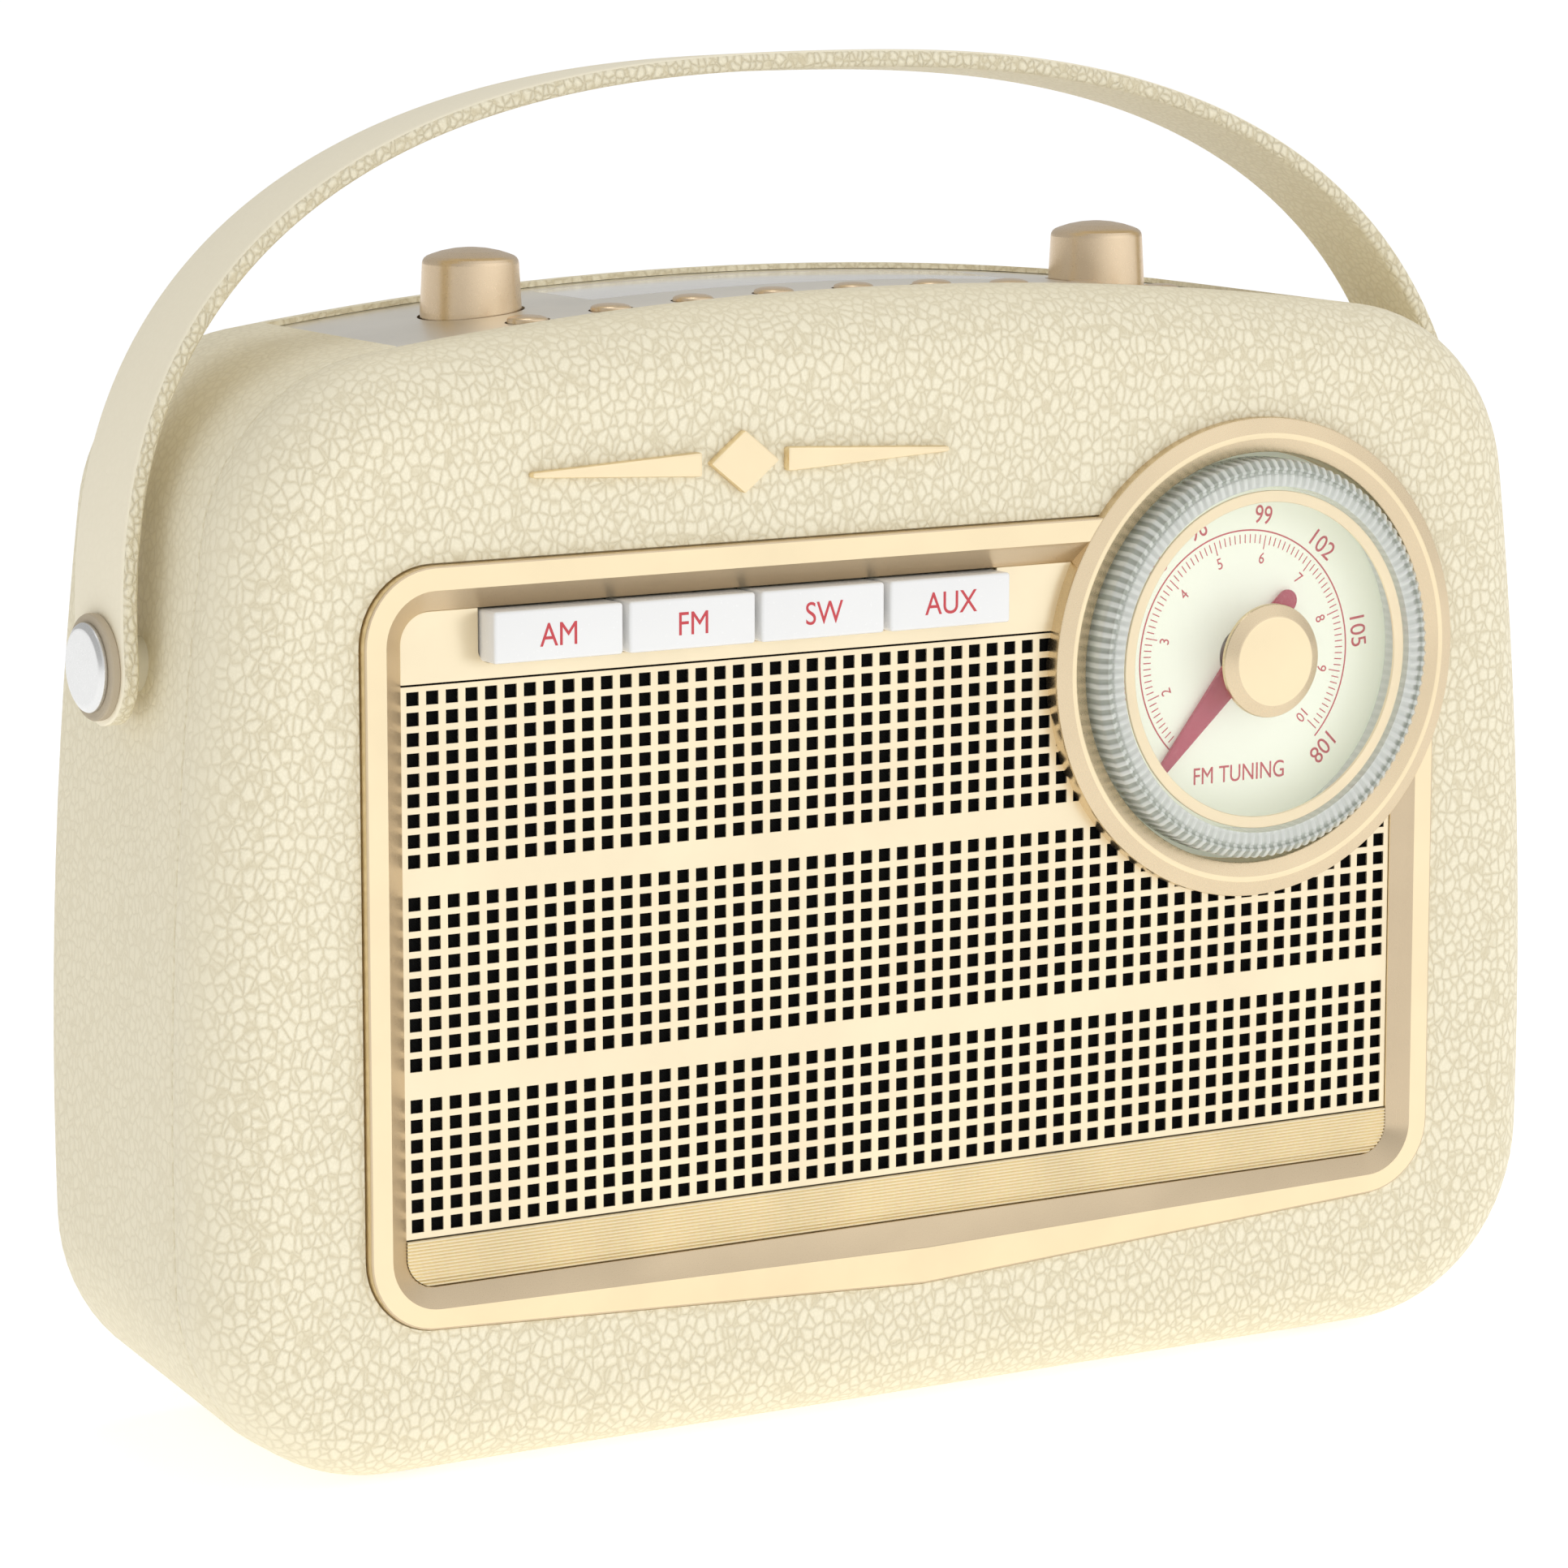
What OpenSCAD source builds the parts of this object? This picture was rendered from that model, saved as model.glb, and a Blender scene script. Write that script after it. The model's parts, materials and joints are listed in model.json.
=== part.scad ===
// Portable radio with a leather-covered case, swinging strap handle and tuning dial.
// Millimetres. +X is the listener's right, +Y runs to the back, +Z is up.
// The origin is on the floor, under the centre of the case.

/* [Case] */
// Half of the flat length along the bottom edge
bottom_flat = 96.7; // [85:0.1:110]
// Radius of the bottom corners
bottom_r = 34.1; // [25:0.1:40]
// Radius of the bowed sides
side_r = 798; // [500:1:1500]
// Radius of the top corners
top_r = 33.5; // [25:0.1:40]
// Slope of the arched top where it meets the corners, in degrees
arch_slope = 8.1; // [6:0.1:10]
// Depth of the case from front leather to back leather
case_d = 69; // [60:0.5:80]
// Height of the case bottom above the floor
foot_gap = 1.5; // [1:0.1:4]
// Distance from the front leather to the seam between the two shells
seam_depth = 14.5; // [13:0.1:18]
// Leather thickness
leather_t = 1; // [0.6:0.1:1.5]
// Moulded wall thickness
wall_t = 2.5; // [2:0.1:3]

/* [Fascia] */
// Half width of the opening inside the bezel
open_hw = 96.7; // [90:0.1:98]
// Bottom of the opening inside the bezel
open_z0 = 33.9; // [32:0.1:36]
// Top of the opening inside the bezel
open_z1 = 142.9; // [140:0.1:145]
// Width of the bezel bar
bezel_w = 7.4; // [6:0.1:9]
// How far the bezel stands in front of the leather
bezel_proud = 1.7; // [1:0.1:3]
// Drop of the shallow point at the middle of the bottom bar
bezel_drop = 4.3; // [2:0.1:6]
// Height of the ribbed strip
trim_h = 8; // [6:0.1:10]

/* [Tuning dial] */
// Dial centre, to the right of the middle
dial_x = 66.3; // [60:0.1:70]
// Dial centre, above the floor
dial_z = 124.2; // [118:0.1:128]
// Outer radius of the metal ring
ring_r = 41.2; // [40:0.1:43]
// Radius of the clear turning knob
knob_r = 34.3; // [33:0.1:34.8]

/* [Keys and buttons] */
// Width of a mode key
key_w = 23.3; // [20:0.1:23.8]
// Distance between mode key centres
key_pitch = 24.5; // [24.2:0.1:25]
// Height of a mode key
key_h = 8.3; // [7:0.1:8.4]
// Distance between preset button centres
button_pitch = 15.45; // [14:0.05:16]
// Radius of a preset button
button_r = 3.35; // [3:0.05:4]

/* [Knobs] */
// Distance of each top knob from the middle
knob_x = 61.8; // [58:0.1:64]
// Radius at the foot of a top knob
top_knob_r = 8.4; // [7.5:0.1:9]
// Height of a top knob above the top plate
top_knob_h = 9.3; // [8:0.1:12]

/* [Handle] */
// Outer half span of the strap at the pivots
strap_hw = 133; // [132.5:0.1:135]
// Rise of the strap above the pivots
strap_rise = 94.2; // [85:0.1:100]
// Strap thickness
strap_t = 3; // [2.5:0.1:3.2]
// Strap width
strap_w = 19; // [16:0.5:20]
// Backward lean of the upright strap, in degrees
strap_lean = 3.5; // [0:0.5:6]
// Height of the pivots above the floor
pivot_z = 133; // [128:0.5:136]

/* [Hidden] */
$fn = 96;

// Front and back planes, and the seam between the shells
y_front = -case_d / 2;
y_back = case_d / 2;
y_seam = y_front + seam_depth;
y_shell = y_front + leather_t;
y_inside = y_shell + wall_t;

// Case outline: arcs joined at equal headings, so that the whole edge is smooth
heading_side = 88.75;
heading_top = 97.3;
heading_arch = 180 - arch_slope;
arch_r = (bottom_flat + bottom_r * sin(heading_side)
    + side_r * (sin(heading_top) - sin(heading_side))
    + top_r * (sin(heading_arch) - sin(heading_top))) / sin(heading_arch);
function heading(a) = [sin(a), -cos(a)];
centre_bottom = [bottom_flat, bottom_r];
centre_side = centre_bottom + (bottom_r - side_r) * heading(heading_side);
centre_top = centre_side + (side_r - top_r) * heading(heading_top);
centre_arch = centre_top + (top_r - arch_r) * heading(heading_arch);
case_h = centre_arch[1] + arch_r;
z_crown = foot_gap + case_h;

// Round edge of the front and of the back
front_edge = [12.1, 11.1];
back_edge = 5.3;
back_inset = 2.1;
back_lift = 2.3;

// Fascia planes
y_plate = y_front + leather_t;
pocket_d = 1.6;
y_baffle = -29;
plate_t = 1.2;
open_r = 5.2;

// Well for the dial, sunk behind the fascia
well_r = 35.3;
well_y = -30.8;

// Mode keys and their slot
key_x0 = -82.4;
key_z0 = open_z1 - 0.3 - key_h;
key_proud = 5;
key_travel = 2.5;
slot_gap = 0.3;
panel_z0 = 131.3;

// Loudspeaker place
spk = [-35, 84];
spk_r = 36;

// Top plate, set a little below the leather
panel_sink = 0.9;
panel_t = 1.5;
panel_hw = 89.4;
panel_y = [y_seam + 0.2, 27.4];
window = [42, 2.7, 23.3];
r_panel = arch_r - panel_sink;
button_y = -12;
knob_y = 7.5;
function panel_z(x) = z_crown - arch_r + sqrt(r_panel * r_panel - x * x);
function button_x(i) = (i - 5) * button_pitch;
board_z = 172.4;
board_t = 1.6;
switch_top = 179.4;

// Battery bay in the back
bay = [[-79, 13.2], [79, 52]];
bay_y0 = 9;
door_t = 2.2;
door_pin_r = 0.7;
hinge_y = y_back - door_t / 2;
hinge_z = 14.6;
cell_r = 7.15;
cell_l = 50.4;

// Rear sockets, up the right-hand side: headphones, line in, supply
socket_x = 102;
socket_z = [66, 50, 32];
socket_hole = [1.8, 1.8, 2.85];

// Case screws
screw_at = [[-113, 30], [113, 20], [-108, 150], [108, 150], [97, 90]];

// Aerial, folded along the back
aerial_x = 80;
aerial_z = 168;
aerial_y = y_back + 3.7;
tube_r = [2.9, 2.3, 1.7];
aerial_end = -70;

// Centre of the strap's pivots
side_x = centre_side[0] + sqrt(pow(side_r, 2) - pow(pivot_z - foot_gap - centre_side[1], 2));

function arc(c, r, a0, a1, n) = [for (i = [0:n]) c + r * heading(a0 + (a1 - a0) * i / n)];
function half_outline(d) = concat(
    arc(centre_bottom, bottom_r - d, 0, heading_side, 7),
    arc(centre_side, side_r - d, heading_side + 2, heading_top, 3),
    arc(centre_top, top_r - d, heading_top + 9, heading_arch, 7),
    arc(centre_arch, arch_r - d, heading_arch + 1, 180, 7));
function mirror_x(pts) = [for (i = [len(pts) - 1:-1:0]) if (pts[i][0] > 0.01) [-pts[i][0], pts[i][1]]];
function case_outline(d) = concat(half_outline(d), mirror_x(half_outline(d)));

// One ring of the case outline at y, drawn in by d and raised by up
function ring(y, d, up = 0) = [for (p = case_outline(d)) [p[0], y, p[1] + foot_gap + up]];

// Closed solid through rings that run from front to back
module loft(rings) {
    n = len(rings[0]);
    m = len(rings);
    polyhedron(
        points = [for (r = rings) each r],
        faces = concat(
            [[for (j = [n - 1:-1:0]) j]],
            [for (i = [0:m - 2], j = [0:n - 1]) let (k = (j + 1) % n)
                [i * n + j, i * n + k, (i + 1) * n + k, (i + 1) * n + j]],
            [[for (j = [0:n - 1]) (m - 1) * n + j]]),
        convexity = 4);
}

// Front half of the case form, drawn in by d from the leather
module front_form(d, back = y_seam) {
    edge = [max(front_edge[0] - d, 1), max(front_edge[1] - d, 1)];
    loft(concat(
        [for (a = [0:18:90]) ring(y_front + d + edge[1] * (1 - cos(a)), d + edge[0] * (1 - sin(a)))],
        [ring(back, d)]));
}

// Rear half of the case form, drawn in by d from the leather
module rear_form(d, front = y_seam) {
    edge = max(back_edge - d, 1);
    loft(concat(
        [ring(front, d), ring(y_seam + 5.5, d)],
        [for (a = [90:-30:0])
            ring(y_back - d - edge * (1 - cos(a)), d + back_inset + edge * (1 - sin(a)), back_lift)]));
}

// Block between two corners
module block(p0, p1) {
    translate(p0) cube(p1 - p0);
}

// Upright rounded rectangle from y0 to y1
module plate(hw, z0, z1, r, y0, y1) {
    translate([0, y1, 0]) rotate([90, 0, 0]) linear_extrude(y1 - y0)
        union() {
            translate([-hw + r, z0]) square([2 * (hw - r), z1 - z0]);
            translate([-hw, z0 + r]) square([2 * hw, z1 - z0 - 2 * r]);
            for (x = [-hw + r, hw - r], z = [z0 + r, z1 - r]) translate([x, z]) circle(r);
        }
}

// Cylinder along Y from y0 to y1, centred at x, z
module rod_y(x, z, r, y0, y1) {
    translate([x, y1, z]) rotate([90, 0, 0]) cylinder(r = r, h = y1 - y0);
}

// Cylinder along X from x0 to x1, centred at y, z
module rod_x(y, z, r, x0, x1) {
    translate([x0, y, z]) rotate([0, 90, 0]) cylinder(r = r, h = x1 - x0);
}

// Curved slab that follows the arched top, between radii r0 and r1
module arch_slab(hw, y0, y1, r0, r1) {
    intersection() {
        translate([0, y1, z_crown - arch_r]) rotate([90, 0, 0]) difference() {
            cylinder(r = r1, h = y1 - y0, $fn = 360);
            translate([0, 0, -1]) cylinder(r = r0, h = y1 - y0 + 2, $fn = 360);
        }
        block([-hw, y0 - 1, z_crown - 40], [hw, y1 + 1, z_crown + 5]);
    }
}

// Outline of the bezel, with its shallow point at the bottom
module bezel_outline() {
    r = 12.5;
    hw = open_hw + bezel_w;
    z0 = open_z0 - 6.8;
    z1 = open_z1 + bezel_w;
    union() {
        translate([-hw + r, z0]) square([2 * (hw - r), z1 - z0]);
        translate([-hw, z0 + r]) square([2 * hw, z1 - z0 - 2 * r]);
        for (x = [-hw + r, hw - r], z = [z0 + r, z1 - r]) translate([x, z]) circle(r);
        polygon([[-hw + r, z0 + 1], [-hw + r, z0], [0, z0 - bezel_drop], [hw - r, z0], [hw - r, z0 + 1]]);
    }
}

// Everything that is cut through the rear half, at the back and at the top
module rear_cuts(grow = 0) {
    block([bay[0][0] - grow, y_back - 6, bay[0][1] - grow], [bay[1][0] + grow, y_back + 1, bay[1][1] + grow]);
    for (i = [0:2]) rod_y(socket_x, socket_z[i], 4.6 + grow, y_back - 8, y_back + 1);
    for (p = screw_at) rod_y(p[0], p[1], 3.3, y_back - 5.4, y_back + 1);
    rod_y(aerial_x, aerial_z, 3.05 + grow, y_back - 8, y_back + 1);
    rod_x(hinge_y, hinge_z, door_pin_r + 0.05, bay[0][0] - 1.6, bay[1][0] + 1.6);
}

// ---- case ----

// Holes behind the fascia: loudspeaker, dial well, tuning bush and mode keys
module baffle_holes() {
    rod_y(spk[0], spk[1], spk_r, -40, 0);
    rod_y(dial_x, dial_z, well_r + 1, -50, well_y);
    rod_y(dial_x, dial_z, 5, -40, 0);
    block([key_x0 - slot_gap, -40, key_z0 - slot_gap],
        [key_x0 + 3 * key_pitch + key_w + slot_gap, 0, key_z0 + key_h + slot_gap]);
}

module front_shell() {
    color("wheat") union() {
        difference() {
            front_form(leather_t);
            front_form(leather_t + wall_t, y_seam + 1);
            plate(open_hw + 0.2, open_z0 - 0.2, open_z1 + 0.2, open_r, y_plate - 3, y_plate + pocket_d);
            baffle_holes();
        }
        difference() {
            union() {
                block([-100, y_plate + pocket_d, 30], [100, y_baffle, 146]);
                rod_y(dial_x, dial_z, well_r + 3, y_plate + pocket_d, y_baffle);
            }
            baffle_holes();
        }
        for (x = [-91, 24]) rod_y(x, 139, 2.4, y_baffle - 0.5, -19.5);
        for (p = screw_at) difference() {
            rod_y(p[0], p[1], 4, y_inside - 1, y_seam);
            rod_y(p[0], p[1], 1.3, y_inside + 1, y_seam + 1);
        }
    }
}

module rear_shell() {
    color("wheat") union() {
        difference() {
            rear_form(leather_t);
            rear_form(leather_t + wall_t, y_seam - 1);
            block([-panel_hw + 2.5, y_seam - 1, z_crown - 30],
                [panel_hw - 2.5, panel_y[1] - 2.5, z_crown + 5]);
            arch_slab(panel_hw + 0.1, y_seam - 1, panel_y[1] + 0.1, r_panel - panel_t, arch_r + 3);
            rear_cuts();
            for (s = [-1, 1]) {
                rod_x(0, pivot_z, 4.55, s * 125 - 20, s * 125 + 20);
                rod_x(0, pivot_z, 6.6, s * (side_x + 3.7) - 5, s * (side_x + 3.7) + 5);
            }
            for (x = [-90, 90]) {
                translate([x, -12, 0]) cylinder(r = 7.1, h = 3.5);
                translate([x, 24, 0]) cylinder(r = 7.1, h = 7.5);
            }
        }
        // Battery bay walls
        difference() {
            block([bay[0][0] - 2, bay_y0, bay[0][1] - 2], [bay[1][0] + 2, y_back - 2, bay[1][1] + 2]);
            block([bay[0][0], bay_y0 + 2, bay[0][1]], [bay[1][0], y_back, bay[1][1]]);
            rod_x(hinge_y, hinge_z, door_pin_r + 0.05, bay[0][0] - 1.6, bay[1][0] + 1.6);
        }
        // Screw posts
        for (p = screw_at) difference() {
            rod_y(p[0], p[1], 4, y_seam + 0.05, y_back - 2);
            rod_y(p[0], p[1], 1.7, y_seam - 1, y_back);
            rod_y(p[0], p[1], 3.3, y_back - 5.4, y_back);
        }
        // Board posts
        for (x = [-54, 84], z = [72, 142]) rod_y(x, z, 3, 21.7, y_back - 3);
        // Aerial spindle boss
        difference() {
            rod_y(aerial_x, aerial_z, 6, y_back - 12, y_back - 3);
            rod_y(aerial_x, aerial_z, 3.05, y_back - 13, y_back);
        }
    }
}

module front_leather() {
    color("#efe2bd") difference() {
        front_form(0);
        front_form(leather_t, y_seam + 1);
        rotate([90, 0, 0]) translate([0, 0, 20]) linear_extrude(30) bezel_outline();
        rod_y(dial_x, dial_z, ring_r, -50, -20);
    }
}

module rear_leather() {
    color("#ecdfba") difference() {
        rear_form(0);
        rear_form(leather_t, y_seam - 1);
        block([-panel_hw - 0.1, y_seam - 1, z_crown - 30], [panel_hw + 0.1, panel_y[1] + 0.1, z_crown + 5]);
        rear_cuts(0.1);
        for (s = [-1, 1]) rod_x(0, pivot_z, 6.6, s * 125 - 20, s * 125 + 20);
        for (x = [-90, 90], y = [-12, 24]) translate([x, y, -1]) cylinder(r = 7.1, h = 14);
    }
}

module rubber_feet() {
    color("#2b2a28") for (x = [-90, 90]) {
        translate([x, -12, 0]) cylinder(r = 7, h = 3.4);
        translate([x, 24, 0]) cylinder(r = 7, h = 7.4);
    }
}

module case_screws() {
    color("silver") for (p = screw_at) {
        rod_y(p[0], p[1], 3, y_back - 5.3, y_back - 3.1);
        rod_y(p[0], p[1], 1.25, y_inside + 3, y_back - 4);
    }
}

// ---- fascia ----

module fascia_bezel() {
    color("#d8bd86") difference() {
        translate([0, y_plate, 0]) rotate([90, 0, 0]) linear_extrude(leather_t + bezel_proud)
            bezel_outline();
        hull() {
            plate(open_hw, open_z0, open_z1, open_r, y_plate, y_plate + 1);
            plate(open_hw + 3.6, open_z0 - 3.4, open_z1 + 3.5, open_r + 3.5,
                y_front - bezel_proud - 1, y_front - bezel_proud);
        }
        rod_y(dial_x, dial_z, ring_r + 0.05, -50, 0);
    }
}

module key_panel() {
    color("#dcc491") difference() {
        plate(open_hw, open_z0, open_z1, open_r, y_plate, y_plate + plate_t);
        block([-120, -50, 0], [120, 0, panel_z0]);
        block([key_x0 - slot_gap, -50, key_z0 - slot_gap],
            [key_x0 + 3 * key_pitch + key_w + slot_gap, 0, open_z1 + 1]);
        rod_y(dial_x, dial_z, well_r + 1.05, -50, 0);
    }
}

// The plate's fine square holes are left to the finished model
module speaker_grille() {
    color("#e0c894") difference() {
        block([-open_hw + 0.1, y_plate, open_z0 + trim_h + 0.1],
            [open_hw - 0.1, y_plate + plate_t, panel_z0 - 0.2]);
        rod_y(dial_x, dial_z, well_r + 1.05, -50, 0);
    }
}

module ribbed_trim() {
    rib_pitch = 1;
    color("#e2cc9c") difference() {
        plate(open_hw - 0.1, open_z0 + 0.1, open_z1, open_r, y_plate - 0.6, y_plate + plate_t);
        block([-120, -50, open_z0 + trim_h], [120, 0, 200]);
        for (i = [1:6]) let (z = open_z0 + i * rib_pitch + 0.5)
            block([-120, -50, z], [120, y_plate - 0.3, z + 0.3]);
    }
}

module grille_cloth() {
    color("#151515") difference() {
        block([-open_hw + 0.2, y_plate + plate_t, open_z0 + 6], [open_hw - 0.2, y_plate + pocket_d, 133.2]);
        rod_y(dial_x, dial_z, well_r + 1.05, -50, 0);
    }
}

// Plain ornament: a lozenge between two long tapered bars
module front_badge() {
    color("#c9a86a") translate([-35, y_front, 163.5]) rotate([90, 0, 0]) linear_extrude(1.6) union() {
        polygon([[-6.5, 0], [0, -5.2], [6.5, 0], [0, 5.2]]);
        for (s = [-1, 1]) {
            polygon([[s * 8, -2], [s * 39, -0.5], [s * 39, 0.5], [s * 8, 2]]);
        }
    }
}

// ---- tuning dial ----

// Deep pan with a raised rim
module dial_ring() {
    color("#cfae76") translate([dial_x, y_plate, dial_z]) rotate([90, 0, 0]) rotate_extrude() polygon([
        [5, -2.7], [well_r + 0.9, -2.7], [well_r + 0.9, 0], [ring_r, 0], [ring_r, 3.3], [ring_r - 3, 3.8],
        [well_r, 3.2], [well_r, -2], [5, -2]]);
}

module dial_plate() {
    color("#e4e6c4") difference() {
        rod_y(dial_x, dial_z, well_r - 0.1, y_plate + 1.4, y_plate + 2);
        rod_y(dial_x, dial_z, 5, -50, 0);
    }
}

// Clear knob: a fluted rim round a flat window
module dial_knob() {
    color("#dfe6dc", 0.4) translate([dial_x, y_plate, dial_z]) rotate([90, 0, 0]) rotate_extrude() polygon([
        [3, 5.4], [29.6, 5.4], [29.6, -0.9], [knob_r, -0.9], [knob_r, 5.2], [knob_r - 1.1, 6.2],
        [30.4, 6.2], [29.6, 5.9], [3, 5.9]]);
}

module dial_trim() {
    color("#d8b47c") translate([dial_x, y_plate, dial_z]) rotate([90, 0, 0]) rotate_extrude()
        polygon([[27, 4.9], [29, 4.9], [29, 5.35], [27, 5.35]]);
}

module dial_pointer() {
    color("#b03050") translate([dial_x, y_plate + 0.9, dial_z]) rotate([90, 0, 0]) linear_extrude(0.8)
        difference() {
            rotate([0, 0, 227]) union() {
                circle(5.5);
                polygon([[0, -3.1], [25.9, -0.9], [25.9, 0.9], [0, 3.1]]);
                polygon([[0, -2.6], [-12.2, -1.9], [-12.2, 1.9], [0, 2.6]]);
                translate([-12.2, 0]) circle(1.9);
            }
            circle(3);
        }
}

module dial_cap() {
    color("#d9be88") translate([dial_x, y_plate - 5.95, dial_z]) rotate([90, 0, 0]) difference() {
        rotate_extrude() polygon([[0, 0], [9.75, 0], [9.75, 0.9], [7.6, 2.05], [0, 2.05]]);
        translate([0, 0, -1]) cylinder(r = 3, h = 1.45);
    }
}

module tuning_shaft() {
    color("silver") rod_y(dial_x, dial_z, 3, y_plate - 6.4, -18);
}

module tuning_encoder() {
    color("#6d7276") difference() {
        union() {
            block([dial_x - 7, y_baffle, dial_z - 7], [dial_x + 7, -19, dial_z + 7]);
            rod_y(dial_x, dial_z, 4.8, y_plate + 1.6, y_baffle + 1);
        }
        rod_y(dial_x, dial_z, 3.05, -60, -10);
    }
}

// ---- mode keys ----

module mode_key(i) {
    x0 = key_x0 + i * key_pitch;
    xm = x0 + key_w / 2;
    zm = key_z0 + key_h / 2;
    color("white") union() {
        block([x0, y_plate - key_proud, key_z0], [x0 + key_w, -27.2, key_z0 + key_h]);
        block([x0 + 2, y_baffle + 0.2, key_z0 - 1.3], [x0 + key_w - 2, -27.2, key_z0 + key_h + 1.3]);
        block([xm - 1.5, -28, zm - 1.5], [xm + 1.5, -24.8, zm + 1.5]);
    }
}

module mode_key_1() { mode_key(0); }
module mode_key_2() { mode_key(1); }
module mode_key_3() { mode_key(2); }
module mode_key_4() { mode_key(3); }

module key_board() {
    zm = key_z0 + key_h / 2;
    color("darkgreen") union() {
        block([-94, -19.5, 131], [27, -17.9, 146]);
        for (i = [0:3]) let (xm = key_x0 + i * key_pitch + key_w / 2)
            block([xm - 3, -22, zm - 3], [xm + 3, -19.4, zm + 3]);
    }
}

// ---- top plate, buttons and knobs ----

module top_panel() {
    color("#b5ab98") difference() {
        arch_slab(panel_hw, panel_y[0], panel_y[1], r_panel - panel_t, r_panel);
        for (i = [1:9]) translate([button_x(i), button_y, 150]) cylinder(r = button_r + 0.35, h = 60);
        for (s = [-1, 1]) translate([s * knob_x, knob_y, 150]) cylinder(r = top_knob_r + 0.5, h = 60);
        block([-window[0], window[1], 150], [window[0], window[2], 210]);
    }
}

module display_window() {
    color("#ece9e6", 0.6)
        arch_slab(window[0] - 0.1, window[1] + 0.1, window[2] - 0.1, r_panel - 1.3, r_panel);
}

module display_module() {
    color("#31373b") block([-36, 4, board_z + board_t], [36, 22, 185]);
}

module top_board() {
    color("darkgreen") union() {
        block([-80, -17.5, board_z], [80, 23, board_z + board_t]);
        for (i = [1:9])
            block([button_x(i) - 3, button_y - 3, board_z + 1], [button_x(i) + 3, button_y + 3, switch_top]);
    }
}

module preset_button(i) {
    z = panel_z(button_x(i));
    color("#cdb083") translate([button_x(i), button_y, 0]) union() {
        translate([0, 0, z - 2.6]) cylinder(r = button_r, h = 3);
        translate([0, 0, z + 0.4]) cylinder(r1 = button_r, r2 = button_r - 1.1, h = 0.6);
        translate([0, 0, switch_top + 1]) cylinder(r = 1.4, h = z - 2 - switch_top - 1);
    }
}

module preset_button_1() { preset_button(1); }
module preset_button_2() { preset_button(2); }
module preset_button_3() { preset_button(3); }
module preset_button_4() { preset_button(4); }
module preset_button_5() { preset_button(5); }
module preset_button_6() { preset_button(6); }
module preset_button_7() { preset_button(7); }
module preset_button_8() { preset_button(8); }
module preset_button_9() { preset_button(9); }

shaft_top = panel_z(knob_x) + 5;

module encoder(x) {
    color("#6d7276") difference() {
        union() {
            block([x - 6, knob_y - 6, board_z + board_t], [x + 6, knob_y + 6, board_z + 8]);
            translate([x, knob_y, board_z + 7]) cylinder(r = 4.5, h = 3);
        }
        translate([x, knob_y, board_z + 2.5]) cylinder(r = 3.05, h = 20);
    }
}

module encoder_shaft(x) {
    color("silver") translate([x, knob_y, board_z + 2.6]) cylinder(r = 3, h = shaft_top - board_z - 2.6);
}

module top_knob(x) {
    z0 = panel_z(knob_x) - 2;
    h = top_knob_h + 2;
    color("#c3a273") translate([x, knob_y, z0]) difference() {
        rotate_extrude() polygon([
            [0, 0], [top_knob_r, 0], [top_knob_r - 0.5, h - 1], [top_knob_r - 1.2, h],
            [top_knob_r - 3.5, h + 0.9], [0, h + 1.4]]);
        translate([0, 0, -1]) cylinder(r = 3.05, h = shaft_top - z0 + 2.2);
    }
}

module volume_encoder() { encoder(-knob_x); }
module select_encoder() { encoder(knob_x); }
module volume_shaft() { encoder_shaft(-knob_x); }
module select_shaft() { encoder_shaft(knob_x); }
module volume_knob() { top_knob(-knob_x); }
module select_knob() { top_knob(knob_x); }

// ---- handle ----

// Strap edge: a superellipse over the pivots, drawn in by d along its normal
strap_n = 2.5;
function strap_at(t) = [
    strap_hw * pow(cos(t), 2 / strap_n),
    strap_rise * pow(sin(t), 2 / strap_n)];
function strap_normal(p) = let (
    g = [pow(p[0], strap_n - 1) / pow(strap_hw, strap_n), pow(p[1], strap_n - 1) / pow(strap_rise, strap_n)])
    g / norm(g);
function strap_edge(d) = [
    for (i = [0:30]) let (p = strap_at(90 * pow(i / 30, 1.25))) p - d * strap_normal(p)];
function strap_band() = concat(
    strap_edge(0), [for (p = mirror_x(strap_edge(0))) p],
    [for (i = [0:30]) let (p = strap_edge(strap_t)[i]) [-p[0], p[1]]],
    [for (i = [29:-1:0]) strap_edge(strap_t)[i]]);

module handle_strap() {
    color("#ecdfba") translate([0, 0, pivot_z]) rotate([-strap_lean, 0, 0]) difference() {
        union() {
            translate([0, strap_w / 2, 0]) rotate([90, 0, 0]) linear_extrude(strap_w)
                polygon(strap_band());
            rod_x(0, 0, strap_w / 2, -strap_hw, strap_t - strap_hw);
            rod_x(0, 0, strap_w / 2, strap_hw - strap_t, strap_hw);
        }
        rod_x(0, 0, 2.05, -strap_hw - 1, strap_hw + 1);
    }
}

module handle_washers() {
    color("#b9a888") for (s = [-1, 1]) difference() {
        rod_x(0, pivot_z, 8.6, s * strap_hw + (s > 0 ? 0 : -1.6), s * strap_hw + (s > 0 ? 1.6 : 0));
        rod_x(0, pivot_z, 2.05, -150, 150);
    }
}

module handle_studs() {
    color("#d9dadb") for (s = [0, 1]) mirror([s, 0, 0]) translate([strap_hw, 0, pivot_z]) rotate([0, 90, 0])
        union() {
            translate([0, 0, -13]) cylinder(r = 2, h = 15);
            translate([0, 0, 1.6]) cylinder(r = 7.2, h = 0.6);
            translate([0, 0, 2.2]) cylinder(r1 = 7.2, r2 = 6.2, h = 0.8);
        }
}

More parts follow.
